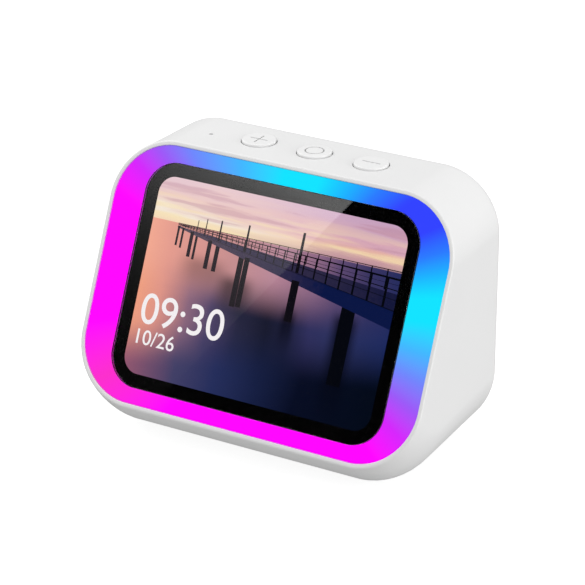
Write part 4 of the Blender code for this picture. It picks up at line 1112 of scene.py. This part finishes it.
screw_places = []
for number in (1, 2, 3, 4):
    low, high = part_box(f"cover_screw_{number}")
    middle = on_rear((low.x + high.x) / 2, (low.z + high.z) / 2)
    screw_places.append((middle.x, middle.y))
SHANK_HOLE, HEAD_HOLE, HEAD_SINK = 1.3 * MM, 2.2 * MM, 1.3 * MM
head_floor = -COVER_SINK - HEAD_SINK
stepped = [(0, -THROUGH), (SHANK_HOLE, -THROUGH), (SHANK_HOLE, head_floor)]
stepped += bore(HEAD_HOLE, 0.2 * MM, -COVER_SINK, THROUGH)[1:]
stepped[3] = (HEAD_HOLE, head_floor)
carve(cover, drill(screw_places, stepped, 36))

port_low, port_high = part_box("usb_c_socket")
port_middle = on_rear(0, (port_low.z + port_high.z) / 2)
PORT_SLACK = 0.7 * MM
slot_height = port_high.z - port_low.z + PORT_SLACK
slot_width = port_high.x - port_low.x + PORT_SLACK
slot = slab(
    "slot",
    slot_width,
    slot_height,
    slot_height / 2 - 0.01 * MM,
    -THROUGH,
    THROUGH,
    REAR @ Matrix.Translation((0, port_middle.y, 0)),
)
carve(cover, slot)
settle(cover, "housing", "white_plastic", "rear_cover")

# %% [markdown]
# ## Screws
#
# A small machine screw has a pan head with a cross recess and a thread that starts below it.
# Modelling the thread's helix on a screw that is buried to its neck would be effort nobody sees,
# so the shank has a few turned ridges, and the work goes into the head.

# %% Steel and screws
def metal(name, light, dark, roughness, grain, **sockets):
    """Bare metal whose polish varies in fine streaks."""
    made = Finish(name, Metallic=1.0, **sockets)
    streak = made.noise(grain, 3.0, (1, 1, 6))
    cloud = made.noise(4 * MM, 2.0)
    made.set(
        Base_Color=made.blend(cloud, tint(light), tint(dark)),
        Roughness=roughness + (streak - 0.5) * 0.2,
        Normal=made.bump(streak, 0.003 * MM),
    )
    return made.material


STEEL = metal("zinc_steel", "C8C8CC", "A8A9AE", 0.3, 0.2 * MM)
HEAD_RADIUS, HEAD_HEIGHT, SHANK = 1.9 * MM, 1.1 * MM, 1.0 * MM
HEAD_ROUND, SCREW_LENGTH = 0.5 * MM, 8 * MM
CROSS_SIZE = (2.1 * MM, 0.5 * MM, 1.4 * MM)


def screw_profile(length):
    """Half the outline of a pan-head screw, with its head's underside at zero."""
    crown = bow(HEAD_RADIUS - HEAD_ROUND, HEAD_HEIGHT - HEAD_ROUND, HEAD_ROUND, 90, 0, 4)
    head = [(0, HEAD_HEIGHT)] + crown
    shank = [(HEAD_RADIUS, 0), (SHANK, 0)]
    z = -0.6 * MM
    while z > -length + 1.2 * MM:
        shank += [(SHANK, z), (SHANK - 0.18 * MM, z - 0.22 * MM)]
        z -= 0.44 * MM
    return head + shank + [(SHANK - 0.3 * MM, -length + 0.3 * MM), (0, -length)]


for number, (x, y) in enumerate(screw_places, 1):
    low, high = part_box(f"cover_screw_{number}")
    seat = REAR @ Matrix.Translation((x, y, high.y - REAR_Y - HEAD_HEIGHT))
    name = f"cover_screw_head_{number}"
    screw = turned(name, screw_profile(SCREW_LENGTH), seat, 32, finish=STEEL)
    for quarter in (0, 1):
        bm = bmesh.new()
        turn = Matrix.Rotation(math.pi / 2 * quarter + math.radians(20 * number), 4, "Z")
        block(bm, CROSS_SIZE, seat @ Matrix.Translation((0, 0, HEAD_HEIGHT)) @ turn)
        carve(screw, piece_from(bm, "cross"))
    settle(screw, "housing", "steel", f"cover_screw_{number}")

# %% [markdown]
# ## The foot
#
# A grey silicone pad keeps the display from sliding. Its moulded grain is shallower than a tenth
# of a millimetre, so it is a job for a bump.

# %% Rubber and foot
def rubber(name, light, dark, roughness=0.8):
    """Matt rubber with a dusty bloom."""
    made = Finish(name, Specular_IOR_Level=0.35)
    bloom = made.noise(3 * MM, 4.0)
    grain = made.noise(0.25 * MM, 2.0)
    made.set(
        Base_Color=made.blend(bloom, tint(light), tint(dark)),
        Roughness=roughness + (bloom - 0.5) * 0.2,
        Normal=made.bump(grain, 0.02 * MM),
    )
    return made.material


GREY_RUBBER = rubber("grey_silicone", "8E8E90", "7C7C7F")
BLACK_RUBBER = rubber("black_rubber", "161617", "202022")
foot = slab(
    "foot_pad_soft",
    foot_size.x,
    foot_size.y,
    FOOT_CORNER,
    -BASE_Z,
    foot_high.z - BASE_Z,
    UNDER,
    0.4 * MM,
    GREY_RUBBER,
)
settle(foot, "housing", "rubber", "foot_pad")

# %% [markdown]
# ## Finishes for what is inside
#
# The inner pieces keep their CAD shapes. They are hardly seen, but the grille, the gaps and an
# opened case show them, so each gets the finish of the real material: lacquered board with copper
# tracks, white LED bodies, black paper, wound copper, dark magnet, and amber film for the ribbons.

# %% Boards, LEDs, paper, copper and film
def circuit_board():
    made = Finish("circuit_board_green", Coat_Weight=0.3, Coat_Roughness=0.2)
    tracks = made.node(
        "ShaderNodeTexWave",
        {"bands_direction": "DIAGONAL"},
        {"Vector": made.point(), "Scale": 300.0, "Distortion": 6.0, "Detail": 0.0},
        "Fac",
    )
    pads = made.node(
        "ShaderNodeTexVoronoi", {"feature": "F1"}, {"Vector": made.point(), "Scale": 420.0}
    )
    track = made.steps(tracks, 0.72, 0.78)
    pad = made.steps(pads, 0.2, 0.16)
    lacquer = made.blend(track, tint("0C4A2A"), tint("1C6A3C"))
    tone = made.noise(6 * MM)
    made.set(
        Base_Color=made.blend(pad, made.blend(tone * 0.3, lacquer, tint("0A3A22")), tint("C8B48A")),
        Metallic=pad,
        Roughness=0.35 + track * 0.1,
        Normal=made.bump(track + pad, 0.02 * MM),
    )
    return made.material


def speckled(name, light, dark, size, roughness, depth, **sockets):
    """A plain solid with specks of a second tone."""
    made = Finish(name, **sockets)
    specks = made.noise(size, 4.0)
    made.set(
        Base_Color=made.blend(specks, tint(light), tint(dark)),
        Roughness=roughness + (specks - 0.5) * 0.15,
        Normal=made.bump(specks, depth),
    )
    return made.material


def wound_copper():
    made = Finish("wound_copper", Metallic=1.0)
    winding = made.node(
        "ShaderNodeTexWave",
        {"bands_direction": "Y"},
        {"Vector": made.point(), "Scale": 900.0, "Distortion": 0.2},
        "Fac",
    )
    made.set(
        Base_Color=made.blend(winding, tint("B4683A"), tint("E09A5C")),
        Roughness=0.3 + winding * 0.1,
        Normal=made.bump(winding, 0.05 * MM),
    )
    return made.material


BOARD = circuit_board()
LED_WHITE = speckled("led_white", "E8E6DC", "DEDCCF", 0.6 * MM, 0.35, 0.002 * MM)
LIGHT_GUIDE = speckled("light_guide_white", "F0F0EE", "E6E6E2", 1.2 * MM, 0.5, 0.004 * MM)
PAPER = speckled("black_paper", "141415", "222224", 0.35 * MM, 0.85, 0.05 * MM)
FERRITE = speckled("ferrite_grey", "2C2C2F", "3C3C40", 0.5 * MM, 0.5, 0.02 * MM, Metallic=0.3)
FILM = speckled("amber_film", "A86A1E", "8C5212", 2.0 * MM, 0.3, 0.004 * MM)
RED_WIRE = speckled("red_wire_cover", "A01414", "8C0E0E", 0.8 * MM, 0.4, 0.005 * MM)
BLACK_WIRE = speckled("black_wire_cover", "0E0E0F", "161617", 0.8 * MM, 0.4, 0.005 * MM)

dress(BOARD, "key_board", "led_board", "main_board", "port_board")
dress(LED_WHITE, *(f"rgb_led_{number:02d}" for number in range(1, 13)))
dress(LIGHT_GUIDE, "backlight_unit")
dress(PAPER, "speaker_cone")
dress(FERRITE, "speaker_magnet", "speaker_basket")
dress(wound_copper(), "voice_coil")
dress(FILM, "display_ribbon", "port_ribbon")
dress(RED_WIRE, "speaker_wire_red")
dress(BLACK_WIRE, "speaker_wire_black")
dress(BLACK_RUBBER, "speaker_surround", "speaker_gasket", "mic_boot")
dress(TRAY_BLACK, "front_tray", *(f"key_switch_{n}" for n in (1, 2, 3)))
dress(TRAY_BLACK, *(f"switch_plunger_{n}" for n in (1, 2, 3)))
dress(
    STEEL,
    "usb_c_socket",
    "processor_shield",
    "microphone",
    *(f"frame_screw_{n}" for n in (1, 2, 3, 4)),
    *(f"{board}_screw_{n}" for board in ("key_board", "main_board") for n in (1, 2)),
)

# %% [markdown]
# ## The studio
#
# The display stands on a plain white table in a white room, so the light comes from everywhere.
# Gloss needs something to mirror: the cover glass gets a card, set where the camera's mirror image
# sees it, bright on the left of a slanting edge and black on the right. The card shows only in
# reflections, as a white card beside the lens would.

# %% Room and table
world = bpy.data.worlds.new("white_room")
world.use_nodes = True
bpy.context.scene.world = world
ROOM_ABOVE, ROOM_BELOW, ROOM_UNDER = 1.16, 0.46, 0.95
ROOM_BEHIND, ROOM_IN_GLOSS = 0.72, 0.48


class Room(Finish):
    """The room's light, which is a Background shader and not a Principled one."""

    def __init__(self, light):
        self.tree = light.node_tree
        self.shader = self.tree.nodes["Background"]

    def choice(self, share, low, high):
        return self.node("ShaderNodeMix", {}, {0: share, 2: low, 3: high})

    def kind(self, ray):
        """1 for a ray of that kind and 0 for any other."""
        return self.node("ShaderNodeLightPath", output=ray)


room = Room(world)
gaze = room.node("ShaderNodeTexCoord", output="Generated")
forward, upward = (
    room.node("ShaderNodeSeparateXYZ", {}, {"Vector": gaze}, axis) for axis in ("Y", "Z")
)
walls = room.choice(room.steps(forward, 0.1, 0.9), ROOM_ABOVE, ROOM_BEHIND)
low = room.choice(room.steps(upward, -0.98, -0.7), ROOM_UNDER, ROOM_BELOW)
light = room.choice(room.steps(upward, -0.15, 0.1), low, walls)
gloss = room.kind("Is Glossy Ray")
mirrored = gloss.maths("MAXIMUM", gloss, room.kind("Is Transmission Ray"))
light = room.choice(mirrored, light, light * ROOM_IN_GLOSS)
light = room.choice(room.kind("Is Camera Ray"), light, 1.0)
room.set(Color=(1, 1, 1, 1), Strength=light)


def softbox(name, place, size, power):
    """A round soft lamp that faces the display."""
    lamp = bpy.data.lights.new(name, "AREA")
    lamp.shape, lamp.size, lamp.energy = "DISK", size, power
    holder = bpy.data.objects.new(name, lamp)
    holder.location = place
    holder.rotation_euler = (FACE_CENTRE - holder.location).to_track_quat("-Z", "Y").to_euler()
    bpy.context.scene.collection.objects.link(holder)


softbox("left_softbox", (-0.5, 0.1, 0.5), size=0.5, power=1.5)
softbox("right_softbox", (0.9, 0.1, 0.12), size=0.6, power=5.0)

TABLE = Finish("white_table", Specular_IOR_Level=0.1, Emission_Strength=0.78)
dust = TABLE.noise(20 * MM, 2.0)
TABLE.set(
    Base_Color=TABLE.blend(dust, tint("A2A2A2"), tint("9E9E9E")),
    Emission_Color=(1, 1, 1, 1),
    Roughness=0.6 + dust * 0.05,
)
bm = bmesh.new()
bmesh.ops.create_grid(bm, x_segments=2, y_segments=2, size=4.0)
table = piece_from(bm, "table", TABLE.material)
table.visible_diffuse = table.visible_glossy = False

# %% Reflector card
mirror_distance = (eye - FACE_CENTRE).dot(OUT_OF_FACE)
mirror_eye = eye - 2 * mirror_distance * OUT_OF_FACE
CARD_SCALE = 2.0
CARD_EDGE = (Vector((19.6 * MM, 29.8 * MM, 0)), Vector((-8.0 * MM, -9.0 * MM, 0)))
bm = bmesh.new()
bmesh.ops.create_grid(bm, x_segments=1, y_segments=1, size=0.5)
bmesh.ops.scale(bm, vec=(260 * MM, 200 * MM, 1), verts=bm.verts)
edge_line = (CARD_EDGE[0] - CARD_EDGE[1]).normalized()
across_edge = edge_line.cross(Vector((0, 0, 1)))
bmesh.ops.bisect_plane(
    bm, geom=bm.verts[:] + bm.edges[:] + bm.faces[:], plane_co=CARD_EDGE[0], plane_no=across_edge
)
for face in bm.faces:
    face.material_index = int((face.calc_center_median() - CARD_EDGE[0]).dot(across_edge) > 0)
spread = (
    Matrix.Translation(mirror_eye)
    @ Matrix.Scale(CARD_SCALE, 4)
    @ Matrix.Translation(-mirror_eye)
    @ FACE
)
bmesh.ops.transform(bm, matrix=spread, verts=bm.verts)
card = piece_from(bm, "reflector_card")
CARD_LIGHT, CARD_FADE, CARD_PEAK = 1.6, 10.4, 30.0
BRIGHT = Finish("card_bright", Base_Color=(0, 0, 0, 1), Emission_Strength=CARD_LIGHT)
BRIGHT.set(Specular_IOR_Level=0.0)
fade_line = (UP_FACE + 0.25 * RIGHT) / CARD_SCALE
start = (mirror_eye - FACE_CENTRE).dot(fade_line) * CARD_SCALE / MM
fade = (BRIGHT.along(fade_line, mirror_eye) + (start - CARD_PEAK)) / CARD_FADE
fade = fade.maths("MINIMUM", fade.maths("POWER", 2.0, fade), 1.0)
BRIGHT.set(Emission_Color=BRIGHT.blend(fade, (0, 0, 0, 1), (1, 1, 1, 1)))
DARK = Finish("card_dark", Base_Color=(0, 0, 0, 1), Specular_IOR_Level=0.0, Roughness=1.0)
card.data.materials.append(BRIGHT.material)
card.data.materials.append(DARK.material)
card.visible_camera = card.visible_diffuse = card.visible_shadow = False
